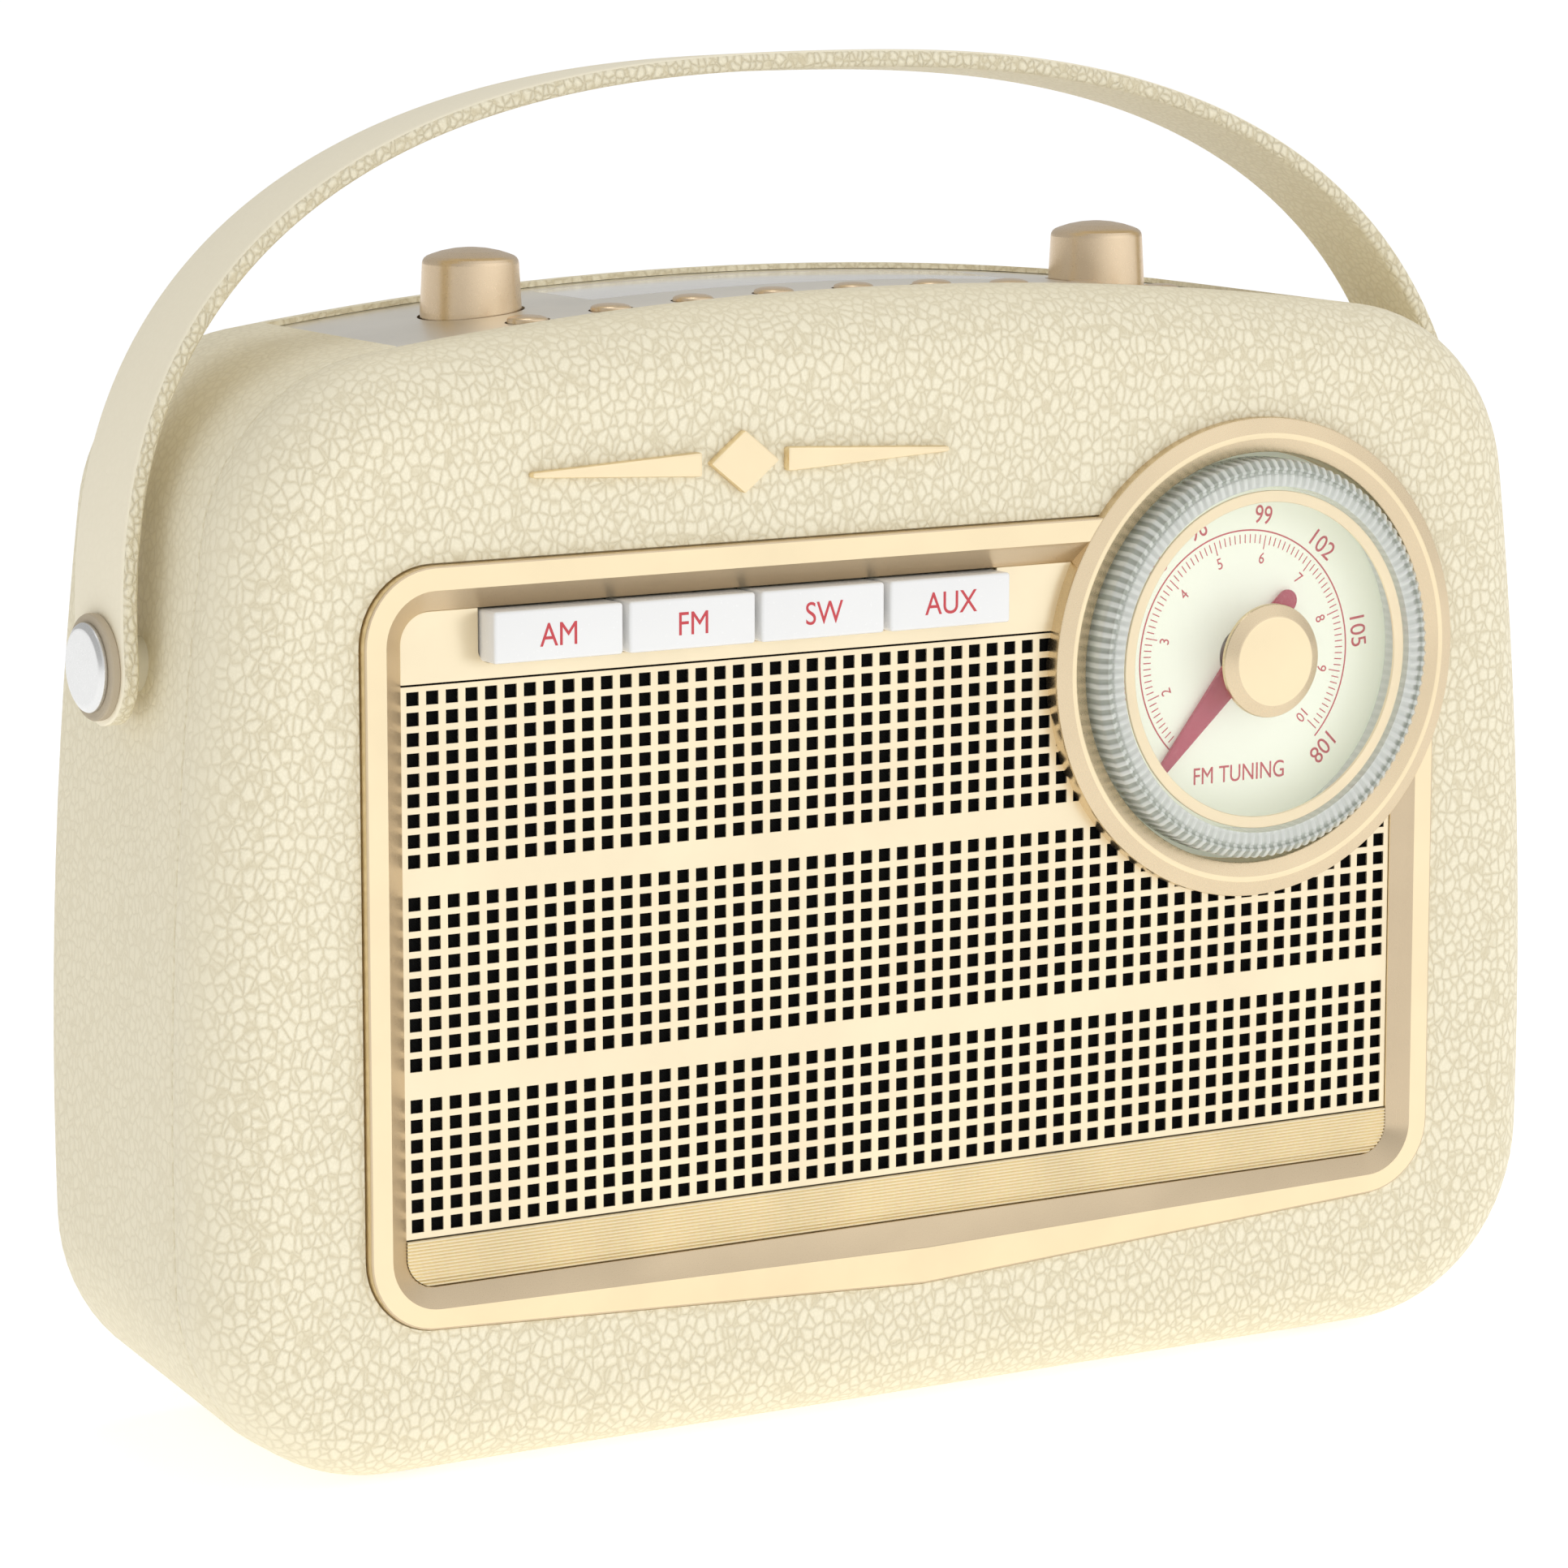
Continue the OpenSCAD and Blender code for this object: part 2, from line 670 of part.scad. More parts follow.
module pivot_bushes() {
    color("#8d8f91") for (s = [0, 1]) mirror([s, 0, 0]) translate([0, 0, pivot_z]) rotate([0, 90, 0])
        difference() {
            union() {
                translate([0, 0, side_x - 1.3])
                    cylinder(r = 6.5, h = strap_hw - strap_t - 0.4 - side_x + 1.3);
                translate([0, 0, side_x - 8]) cylinder(r = 4.5, h = 8);
            }
            translate([0, 0, side_x - 9]) cylinder(r = 2.05, h = 30);
        }
}

// ---- loudspeaker and electronics ----

module speaker_basket() {
    color("#3a3c3e") translate([spk[0], y_baffle, spk[1]]) rotate([-90, 0, 0]) rotate_extrude() polygon([
        [spk_r - 1, 0], [spk_r + 5, 0], [spk_r + 5, 2], [spk_r + 1, 2], [28, 20], [28, 22], [17, 22],
        [17, 20], [26, 19], [spk_r - 1, 2]]);
}

module speaker_cone() {
    color("#202020") translate([spk[0], y_baffle, spk[1]]) rotate([-90, 0, 0]) rotate_extrude() polygon([
        [0, 6], [9, 9], [12, 13], [spk_r - 4, 0.6], [spk_r - 1.2, 0.6], [spk_r - 1.2, 1.4],
        [spk_r - 3.6, 1.4], [13, 16], [11, 17], [0, 17]]);
}

module speaker_magnet() {
    color("#6a6c6e") rod_y(spk[0], spk[1], 29, y_baffle + 22.1, y_baffle + 34);
}

module main_board() {
    color("darkgreen") block([-60, 20, 60], [90, 21.6, 148]);
}

module tuner_module() {
    color("silver") block([30, 12, 104], [72, 20, 140]);
}

module batteries() {
    color("#3e6ea5") for (i = [-1:1], z = [24, 39.5])
        rod_x(19.5, z, cell_r, i * 51 - cell_l / 2, i * 51 + cell_l / 2);
}

module rear_sockets() {
    color("#2a2a2a") for (i = [0:2]) difference() {
        rod_y(socket_x, socket_z[i], 4.5, y_back - 18, y_back - 0.3);
        rod_y(socket_x, socket_z[i], socket_hole[i], y_back - 15, y_back + 1);
    }
}

// ---- back ----

module battery_door() {
    gap = 0.35;
    color("#e8dbb6") union() {
        difference() {
            block([bay[0][0] + gap, y_back - door_t, hinge_z], [bay[1][0] - gap, y_back, bay[1][1] - gap]);
            rod_y(0, bay[1][1], 6, y_back - 1, y_back + 1);
        }
        rod_x(hinge_y, hinge_z, door_t / 2, bay[0][0] + gap, bay[1][0] - gap);
        rod_x(hinge_y, hinge_z, door_pin_r, bay[0][0] - 1.2, bay[1][0] + 1.2);
    }
}

module aerial_swivel() {
    color("#b9bbbd") union() {
        rod_y(aerial_x, aerial_z, 3, y_back - 11, y_back + 0.4);
        difference() {
            rod_y(aerial_x, aerial_z, 5.5, y_back + 0.3, y_back + 7);
            block([aerial_x - 10, y_back + 0.6, aerial_z - 3], [aerial_x + 3.2, y_back + 8, aerial_z + 3]);
        }
        translate([aerial_x, aerial_y, aerial_z - 5]) cylinder(r = 1, h = 10);
    }
}

module aerial_tube_1() {
    color("#cfd1d3") union() {
        difference() {
            rod_x(aerial_y, aerial_z, tube_r[0], aerial_end, aerial_x - 3.5);
            rod_x(aerial_y, aerial_z, tube_r[1] + 0.05, aerial_end - 1, aerial_x - 10);
        }
        difference() {
            union() {
                block([aerial_x - 4, aerial_y - 2.5, aerial_z - 2.6],
                    [aerial_x, aerial_y + 2.5, aerial_z + 2.6]);
                translate([aerial_x, aerial_y, aerial_z - 2.6]) cylinder(r = 2.5, h = 5.2);
            }
            translate([aerial_x, aerial_y, aerial_z - 5]) cylinder(r = 1.05, h = 10);
        }
    }
}

module aerial_tube_2() {
    color("#cfd1d3") difference() {
        rod_x(aerial_y, aerial_z, tube_r[1], aerial_end - 2, aerial_x - 12);
        rod_x(aerial_y, aerial_z, tube_r[2] + 0.05, aerial_end - 3, aerial_x - 16);
    }
}

module aerial_tube_3() {
    color("#cfd1d3") union() {
        rod_x(aerial_y, aerial_z, tube_r[2], aerial_end - 5, aerial_x - 18);
        rod_x(aerial_y, aerial_z, tube_r[0], aerial_end - 9, aerial_end - 4);
    }
}

front_shell();
rear_shell();
front_leather();
rear_leather();
fascia_bezel();
key_panel();
speaker_grille();
ribbed_trim();
grille_cloth();
dial_ring();
dial_plate();
front_badge();
top_panel();
display_window();
display_module();
speaker_basket();
speaker_cone();
speaker_magnet();
main_board();
tuner_module();
key_board();
top_board();
volume_encoder();
select_encoder();
tuning_encoder();
batteries();
rear_sockets();
case_screws();
rubber_feet();
pivot_bushes();
handle_strap();
handle_washers();
handle_studs();
dial_knob();
dial_trim();
dial_pointer();
dial_cap();
tuning_shaft();
volume_shaft();
volume_knob();
select_shaft();
select_knob();
mode_key_1();
mode_key_2();
mode_key_3();
mode_key_4();
preset_button_1();
preset_button_2();
preset_button_3();
preset_button_4();
preset_button_5();
preset_button_6();
preset_button_7();
preset_button_8();
preset_button_9();
battery_door();
aerial_swivel();
aerial_tube_1();
aerial_tube_2();
aerial_tube_3();
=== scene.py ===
"""Looks of a leather portable radio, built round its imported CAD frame.

Lengths are millimetres in the row frame: +X to the listener's right, +Y to the back, +Z up.
"""

import json
import math

import bmesh
import bpy
from mathutils import Matrix, Vector


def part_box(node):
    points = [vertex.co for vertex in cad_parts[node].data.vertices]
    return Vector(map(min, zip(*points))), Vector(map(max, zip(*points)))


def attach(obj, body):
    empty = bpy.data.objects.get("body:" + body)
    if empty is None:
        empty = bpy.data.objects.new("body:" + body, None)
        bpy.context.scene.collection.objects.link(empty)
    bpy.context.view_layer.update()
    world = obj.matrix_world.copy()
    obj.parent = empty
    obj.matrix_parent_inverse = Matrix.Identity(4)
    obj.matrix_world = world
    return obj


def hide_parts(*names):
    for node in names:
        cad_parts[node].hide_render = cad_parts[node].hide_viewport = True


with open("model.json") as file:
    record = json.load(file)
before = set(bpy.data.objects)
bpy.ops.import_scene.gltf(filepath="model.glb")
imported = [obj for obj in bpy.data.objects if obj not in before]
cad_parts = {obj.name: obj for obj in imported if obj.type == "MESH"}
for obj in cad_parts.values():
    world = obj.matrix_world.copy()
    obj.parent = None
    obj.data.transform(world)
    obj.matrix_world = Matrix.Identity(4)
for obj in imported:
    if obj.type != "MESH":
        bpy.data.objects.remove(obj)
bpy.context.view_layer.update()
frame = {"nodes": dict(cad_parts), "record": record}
MM = 0.001


def box(node):
    """Lowest and highest corner of a CAD node in millimetres."""
    low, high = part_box(node)
    return low / MM, high / MM


def middle(node):
    low, high = box(node)
    return (low + high) / 2


# ---- sizes ----

# Case outline: arcs joined at equal headings, as in the CAD source
BOTTOM_FLAT, BOTTOM_R, SIDE_R, TOP_R = 96.7, 34.1, 798.0, 33.5
HEADING_SIDE, HEADING_TOP, HEADING_ARCH = 88.75, 97.3, 171.9
FRONT_EDGE = (12.1, 11.1)
BACK_EDGE, BACK_INSET, BACK_LIFT = 5.3, 2.1, 2.3
LEATHER_T = 0.9

front_low, front_high = box("front_leather")
Y_FRONT, Y_SEAM, FLOOR_GAP = front_low.y, front_high.y, front_low.z
Y_BACK = box("rear_leather")[1].y
Y_PLATE = box("speaker_grille")[0].y

# Fascia opening and bezel
grille_low, grille_high = box("speaker_grille")
panel_low, panel_high = box("key_panel")
bezel_low, bezel_high = box("fascia_bezel")
OPEN_HW = max(panel_high.x, -panel_low.x)
OPEN_Z1 = panel_high.z
OPEN_Z0 = box("ribbed_trim")[0].z - 0.1
OPEN_R, BEZEL_R, CREST_R = 5.2, 12.5, 8.7
BEZEL_HW = -bezel_low.x
BEZEL_Z1 = bezel_high.z
BEZEL_Z0 = OPEN_Z0 - 6.8
BEZEL_DROP = BEZEL_Z0 - bezel_low.z
BEZEL_Y = bezel_low.y

# Tuning dial
DIAL = middle("dial_ring")
DIAL.y = Y_PLATE
RING_R = (box("dial_ring")[1].x - box("dial_ring")[0].x) / 2
KNOB_R = (box("dial_knob")[1].x - box("dial_knob")[0].x) / 2
CAP_R = (box("dial_cap")[1].x - box("dial_cap")[0].x) / 2
POINTER_ANGLE = 227
FLUTES = 120
# The leather, panel and grille are cut away inside this radius, under the dial's ring
PAN_CUT_R = 38
# Height of the printed disc's face over the plate, below it where negative
FACE_H = -1.4
# Angle of the first tick, and the angle between ticks going clockwise
FIRST_TICK, TICK_STEP, TICKS = 228, 3, 91
SCALE_R, SCALE_WIDTH = 21.4, 0.26

# Handle: the strap's outer edge is a superellipse of power STRAP_N that leans back by STRAP_LEAN degrees
STRAP_HW = box("handle_strap")[1].x
STRAP_W, STRAP_T, STRAP_N = 19.0, 3.0, 2.5
STRAP_RISE, STRAP_LEAN = 94.2, 3.5
PIVOT_Z = middle("handle_studs").z

slot_of = {s["node"]: s["material_slot"] for s in frame["record"]["subparts"]}


# ---- mesh helpers ----


def finish_mesh(mesh, sharp):
    """Joins doubled points, turns the faces outward and marks edges sharper than the angle."""
    bm = bmesh.new()
    bm.from_mesh(mesh)
    bmesh.ops.remove_doubles(bm, verts=bm.verts, dist=1e-7)
    bmesh.ops.recalc_face_normals(bm, faces=bm.faces)
    for face in bm.faces:
        face.smooth = True
    for edge in bm.edges:
        edge.smooth = len(edge.link_faces) == 2 and edge.calc_face_angle(0) < math.radians(sharp)
    bm.to_mesh(mesh)
    bm.free()


def raw(name, verts, faces):
    mesh = bpy.data.meshes.new(name)
    mesh.from_pydata([Vector(v) * MM for v in verts], [], faces)
    piece = bpy.data.objects.new(name, mesh)
    bpy.context.scene.collection.objects.link(piece)
    return piece


def settle(piece, sharp=32):
    """Turns a piece's modifiers into mesh."""
    bpy.context.view_layer.update()
    graph = bpy.context.evaluated_depsgraph_get()
    mesh = bpy.data.meshes.new_from_object(piece.evaluated_get(graph))
    piece.modifiers.clear()
    piece.data = mesh
    mesh.name = piece.name
    finish_mesh(mesh, sharp)


def bevelled(piece, width, segments=3, angle=40):
    bevel = piece.modifiers.new("edges", "BEVEL")
    bevel.width = width * MM
    bevel.segments = segments
    bevel.limit_method = "ANGLE"
    bevel.angle_limit = math.radians(angle)
    settle(piece)


def carve(piece, cutter):
    """Cuts the cutter's volume out of the piece and removes the cutter."""
    for mesh in (piece.data, cutter.data):
        finish_mesh(mesh, 32)
    cut = piece.modifiers.new("cut", "BOOLEAN")
    cut.operation = "DIFFERENCE"
    cut.solver = "EXACT"
    cut.object = cutter
    settle(piece)
    bpy.data.objects.remove(cutter)


def place(piece, body, material, nodes=(), sharp=32):
    """Gives a piece its finish, and lets it ride on a body and stand for CAD nodes."""
    finish_mesh(piece.data, sharp)
    piece.data.materials.clear()
    for one in material if isinstance(material, (list, tuple)) else [material]:
        piece.data.materials.append(one)
    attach(piece, body)
    if nodes:
        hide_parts(*nodes)
    return piece


def loft(rings, caps=True, closed=False):
    """Points and faces of a skin through rings of equal length."""
    n, m = len(rings[0]), len(rings)
    verts = [p for ring in rings for p in ring]
    faces = []
    for i in range(m if closed else m - 1):
        a, b = i * n, (i + 1) % m * n
        faces += [(a + j, a + (j + 1) % n, b + (j + 1) % n, b + j) for j in range(n)]
    if caps and not closed:
        faces += [tuple(range(n))[::-1], tuple(range((m - 1) * n, m * n))]
    return verts, faces


SIDES = {
    "front": (Vector((1, 0, 0)), Vector((0, 0, 1)), Vector((0, -1, 0))),
    "up": (Vector((1, 0, 0)), Vector((0, 1, 0)), Vector((0, 0, 1))),
    "right": (Vector((0, 1, 0)), Vector((0, 0, 1)), Vector((1, 0, 0))),
    "left": (Vector((0, -1, 0)), Vector((0, 0, 1)), Vector((-1, 0, 0))),
}


def crisp(profile, near=0.06):
    """Adds points close to the corners of a closed line, so that its long flats shade flat."""
    points = []
    for a, b in zip(profile, profile[1:] + profile[:1]):
        points.append(a)
        length = math.dist(a, b)
        if length > 5 * near and (a[0] or b[0]):
            for t in (near / length, 1 - near / length):
                points.append((a[0] + (b[0] - a[0]) * t, a[1] + (b[1] - a[1]) * t))
    return points


def lathe(name, profile, centre, side, steps=128, wave=None):
    """A turned solid. The profile is a closed line of (radius, height); wave shifts a point by its angle."""
    u, v, along = SIDES[side]
    if not wave:
        profile = crisp(profile)
    verts, faces, rows = [], [], []
    for index, (radius, height) in enumerate(profile):
        if radius == 0:
            rows.append([len(verts)])
            verts.append(centre + along * height)
            continue
        rows.append(list(range(len(verts), len(verts) + steps)))
        for k in range(steps):
            angle = 2 * math.pi * k / steps
            dr, dh = wave(index, k) if wave else (0, 0)
            out = u * math.cos(angle) + v * math.sin(angle)
            verts.append(centre + out * (radius + dr) + along * (height + dh))
    last = len(rows) if profile[0][0] and profile[-1][0] else len(rows) - 1
    for i in range(last):
        a, b = rows[i], rows[(i + 1) % len(rows)]
        for k in range(steps):
            n = (k + 1) % steps
            if len(a) == 1 and len(b) == 1:
                continue
            if len(a) == 1:
                faces.append((a[0], b[k], b[n]))
            elif len(b) == 1:
                faces.append((a[k], a[n], b[0]))
            else:
                faces.append((a[k], a[n], b[n], b[k]))
    return raw(name, verts, faces)


def slab(name, outline, y0, y1):
    """An upright plate with an (x, z) outline, from y0 to y1."""
    return raw(name, *loft([[(x, y, z) for x, z in outline] for y in (y0, y1)]))


def arc(cx, cz, radius, start, end, steps):
    """Points on a circle, from one angle to another in degrees."""
    angles = [math.radians(start + (end - start) * i / steps) for i in range(steps + 1)]
    return [(cx + radius * math.cos(a), cz + radius * math.sin(a)) for a in angles]


def join(name, pieces):
    """One piece made of several separate solids."""
    bm = bmesh.new()
    for piece in pieces:
        bm.from_mesh(piece.data)
        bpy.data.objects.remove(piece)
    mesh = bpy.data.meshes.new(name)
    bm.to_mesh(mesh)
    bm.free()
    whole = bpy.data.objects.new(name, mesh)
    bpy.context.scene.collection.objects.link(whole)
    return whole


def letters(text, height, matrix, thickness=0.05, width=None):
    """Raised print: a centred line of plain letters of the given height, and total width if given."""
    curve = bpy.data.curves.new("letters", "FONT")
    curve.body = text
    curve.align_x = "CENTER"
    curve.extrude = 0.5
    source = bpy.data.objects.new("letters", curve)
    bpy.context.scene.collection.objects.link(source)
    bpy.context.view_layer.update()
    graph = bpy.context.evaluated_depsgraph_get()
    mesh = bpy.data.meshes.new_from_object(source.evaluated_get(graph))
    bpy.data.objects.remove(source)
    top = max(v.co.y for v in mesh.vertices)
    size = height * MM / top
    across = [v.co.x for v in mesh.vertices]
    wide = width * MM / (max(across) - min(across)) if width else size * 0.9
    scale = Matrix.Diagonal((wide, size, thickness * MM, 1))
    mesh.transform(matrix @ Matrix.Translation((0, -height * MM / 2, 0)) @ scale)
    piece = bpy.data.objects.new("letters", mesh)
    bpy.context.scene.collection.objects.link(piece)
    return piece


UPRIGHT = Matrix.Rotation(math.pi / 2, 4, "X")


def at(x, y, z, turn=0):
    """Places upright print at a point, turned about the front axis by degrees."""
    return (
        Matrix.Translation(Vector((x, y, z)) * MM)
        @ UPRIGHT
        @ Matrix.Rotation(math.radians(turn), 4, "Z")
    )


# ---- materials ----


class Finish:
    """A procedural material: a Principled shader with chains of texture nodes before it."""

    def __init__(self, name, colour, rough, **sockets):
        self.material = bpy.data.materials.new(name)
        self.material.use_nodes = True
        self.tree = self.material.node_tree
        self.shader = self.tree.nodes["Principled BSDF"]
        self.set(self.shader, "Base Color", (*colour, 1))
        self.set(self.shader, "Roughness", rough)
        for socket, value in sockets.items():
            self.set(self.shader, socket.replace("_", " "), value)
        self.coords = self.tree.nodes.new("ShaderNodeTexCoord")

    def set(self, node, socket, value):
        if isinstance(value, bpy.types.NodeSocket):
            self.tree.links.new(value, node.inputs[socket])
        else:
            node.inputs[socket].default_value = value

    def node(self, kind, output=0, inputs=None, **settings):
        made = self.tree.nodes.new("ShaderNode" + kind)
        for key, value in settings.items():
            setattr(made, key, value)
        for socket, value in (inputs or {}).items():
            self.set(made, socket, value)
        return made.outputs[output]

    def place(self, stretch=(1, 1, 1)):
        """Object coordinates in millimetres, squeezed by the stretch."""
        scale = [1 / (MM * s) for s in stretch]
        inputs = {"Vector": self.coords.outputs["Object"], "Scale": scale}
        return self.node("Mapping", inputs=inputs)

    def noise(self, size, detail=3, stretch=(1, 1, 1), vector=None):
        inputs = {"Vector": vector or self.place(stretch), "Scale": 1 / size, "Detail": detail}
        return self.node("TexNoise", inputs=inputs)

    def math(self, operation, *values, clamp=False):
        inputs = dict(enumerate(values))
        return self.node("Math", inputs=inputs, operation=operation, use_clamp=clamp)

    def span(self, value, low, high, to_low=0, to_high=1):
        inputs = {0: value, 1: low, 2: high, 3: to_low, 4: to_high}
        return self.node("MapRange", inputs=inputs)

    def blend(self, factor, first, second):
        made = self.tree.nodes.new("ShaderNodeMix")
        made.data_type = "RGBA"
        self.set(made, "Factor", factor)
        for socket, value in ((6, first), (7, second)):
            self.set(made, socket, value if isinstance(value, bpy.types.NodeSocket) else (*value, 1))
        return made.outputs[2]

    def bump(self, height, distance, strength=1.0, normal=None):
        inputs = {"Height": height, "Distance": distance * MM, "Strength": strength}
        if normal:
            inputs["Normal"] = normal
        return self.node("Bump", inputs=inputs)

    def colour(self, value):
        self.set(self.shader, "Base Color", value)

    def rough(self, value):
        self.set(self.shader, "Roughness", value)

    def normal(self, value):
        self.set(self.shader, "Normal", value)


def leather(name, light, groove, grain, relief, contrast=1.0):
    """Pebbled leather. Grain is a pebble's width. The pattern is strongest on the front and back, and faces
    turned away from them get a painted shade toward the groove colour.
    """
    f = Finish(name, light, 0.5, Specular_IOR_Level=0.35)
    base = f.place((1, 1, 1.3))
    warp = f.node("TexNoise", 1, {"Vector": base, "Scale": 0.45, "Detail": 2.0})
    moved = f.node("VectorMath", inputs={0: warp, 1: (0.5, 0.5, 0.5)}, operation="SUBTRACT")
    inputs = {0: moved, 1: (0.6 * grain,) * 3, 2: base}
    warped = f.node("VectorMath", inputs=inputs, operation="MULTIPLY_ADD")
    cell = {"Vector": warped, "Scale": 1 / grain, "Randomness": 0.92}
    edge = f.node("TexVoronoi", 0, cell, feature="DISTANCE_TO_EDGE")
    small = {"Vector": warped, "Scale": 2.3 / grain}
    crease = f.node("TexVoronoi", 0, small, feature="DISTANCE_TO_EDGE")
    pebble = f.span(edge, 0.0, 0.26)
    line = f.span(edge, 0.0, 0.2)
    wrinkle = f.span(crease, 0.0, 0.2)
    fine = f.noise(0.5, 3)
    height = f.math("MULTIPLY_ADD", wrinkle, 0.16, pebble)
    height = f.math("MULTIPLY_ADD", fine, 0.12, height)
    front = f.node("SeparateXYZ", 1, {0: f.coords.outputs["Normal"]})
    facing = f.span(f.math("ABSOLUTE", front), 0.3, 0.95, 0.4, 1.0)
    shade = f.math("MULTIPLY_ADD", wrinkle, 0.15, f.math("MULTIPLY", line, 0.85))
    depth = f.math("MULTIPLY", f.math("SUBTRACT", 1.0, shade), contrast)
    # Painted shade: faces that turn sideways from the front and back are darkened toward the groove colour
    painted_side_shade = f.math("MULTIPLY", f.math("SUBTRACT", 1.0, facing), 0.35 * contrast)
    depth = f.math("MULTIPLY_ADD", depth, facing, painted_side_shade, clamp=True)
    f.colour(f.blend(depth, light, groove))
    f.rough(f.span(fine, 0.2, 0.8, 0.52, 0.62))
    f.normal(f.bump(f.math("MULTIPLY", height, facing), relief, 0.8))
    return f.material


def satin(name, colour, rough, stretch=(1, 1, 1), depth=0.004, metallic=1.0, wear=0.06):
    """Anodised or lacquered metal with a fine grain, long where the stretch is long."""
    f = Finish(name, colour, rough, Metallic=metallic)
    grain = f.noise(0.12, 4, stretch)
    cloud = f.noise(18, 3)
    f.colour(f.blend(f.span(cloud, 0.35, 0.7), colour, [c * (1 - wear) for c in colour]))
    f.rough(f.span(grain, 0.25, 0.75, rough - 0.05, rough + 0.07))
    f.normal(f.bump(grain, depth, 0.5))
    return f.material


def plastic(name, colour, rough, size=0.35, depth=0.02, tint=0.05, **sockets):
    """Moulded plastic, rubber or card: a fine spark texture and a slight cloud of tone."""
    f = Finish(name, colour, rough, **sockets)
    spark = f.noise(size, 3)
    cloud = f.noise(14, 3)
    darker = [c * (1 - tint) for c in colour]
    f.colour(f.blend(f.span(cloud, 0.35, 0.7), colour, darker))
    f.rough(f.span(spark, 0.3, 0.7, max(rough - 0.05, 0.02), rough + 0.06))
    f.normal(f.bump(spark, depth, 0.5))
    return f.material


def cloth(name, colour):
    f = Finish(name, colour, 0.9, Specular_IOR_Level=0.2)
    weave = f.node("TexWave", 1, {"Vector": f.place(), "Scale": 1.2}, bands_direction="DIAGONAL")
    f.colour(f.blend(weave, [c * 0.6 for c in colour], colour))
    f.normal(f.bump(weave, 0.05))
    return f.material


def clear(name, colour, rough, **sockets):
    """Clear moulded acrylic with faint flow marks."""
    f = Finish(name, colour, rough, **sockets)
    flow = f.noise(3, 2)
    f.colour(f.blend(flow, colour, [c * 0.97 for c in colour]))
    f.rough(f.span(flow, 0.3, 0.7, rough, rough + 0.03))
    f.normal(f.bump(flow, 0.01, 0.3))
    return f.material


def fluted(name, colour, painted_reflection_dark, rough, **sockets):
    """Clear moulding whose flutes round the dial centre show as light and dark bars of painted reflection."""
    f = Finish(name, colour, rough, **sockets)
    centre = Vector((DIAL.x, DIAL.y, DIAL.z)) * MM
    inputs = {0: f.coords.outputs["Object"], 1: centre}
    out = f.node("VectorMath", inputs=inputs, operation="SUBTRACT")
    parts = f.tree.nodes.new("ShaderNodeSeparateXYZ")
    f.set(parts, 0, out)
    turn = f.math("MULTIPLY", f.math("ARCTAN2", parts.outputs[2], parts.outputs[0]), float(FLUTES))
    # Painted reflection: a light and a dark bar for each flute, weaker towards the inner edge
    bar = f.span(f.math("SINE", turn), -0.3, 0.5)
    flow = f.span(f.noise(5, 2), 0.35, 0.65, 0.7, 1.0)
    away = f.node("VectorMath", 1, {0: out}, operation="LENGTH")
    edge = f.span(away, (KNOB_R - 2.4) * MM, (KNOB_R - 1.6) * MM, 0.3, 1.0)
    shade = f.math("SUBTRACT", 1.0, f.math("MULTIPLY", bar, flow))
    f.colour(f.blend(f.math("MULTIPLY", shade, edge), colour, painted_reflection_dark))
    f.rough(f.span(flow, 0.5, 1.0, rough, rough + 0.04))
    return f.material


def dial_face(name):
    """Pale green-cream lacquer, lighter towards the middle, with a fine grain. It glows a little: painted
    light that lifts it out of the shade under the rim.
    """
    # Painted light: a faint glow to lighten the sunken face
    f = Finish(name, (0.80, 0.84, 0.66), 0.45, Emission_Strength=0.2)
    f.set(f.shader, "Emission Color", (0.95, 1.0, 0.85, 1))
    centre = Vector((DIAL.x, DIAL.y, DIAL.z)) * MM
    away = f.node("VectorMath", 1, {0: f.coords.outputs["Object"], 1: centre}, operation="DISTANCE")
    reach = f.span(away, 8 * MM, 34 * MM)
    grain = f.noise(0.3, 2)
    tone = f.blend(reach, (0.97, 0.98, 0.86), (0.84, 0.88, 0.70))
    f.colour(f.blend(f.span(grain, 0.3, 0.7, 0, 0.35), tone, (0.70, 0.74, 0.58)))
    f.rough(f.span(grain, 0.3, 0.7, 0.4, 0.5))
    f.normal(f.bump(grain, 0.01, 0.3))
    return f.material


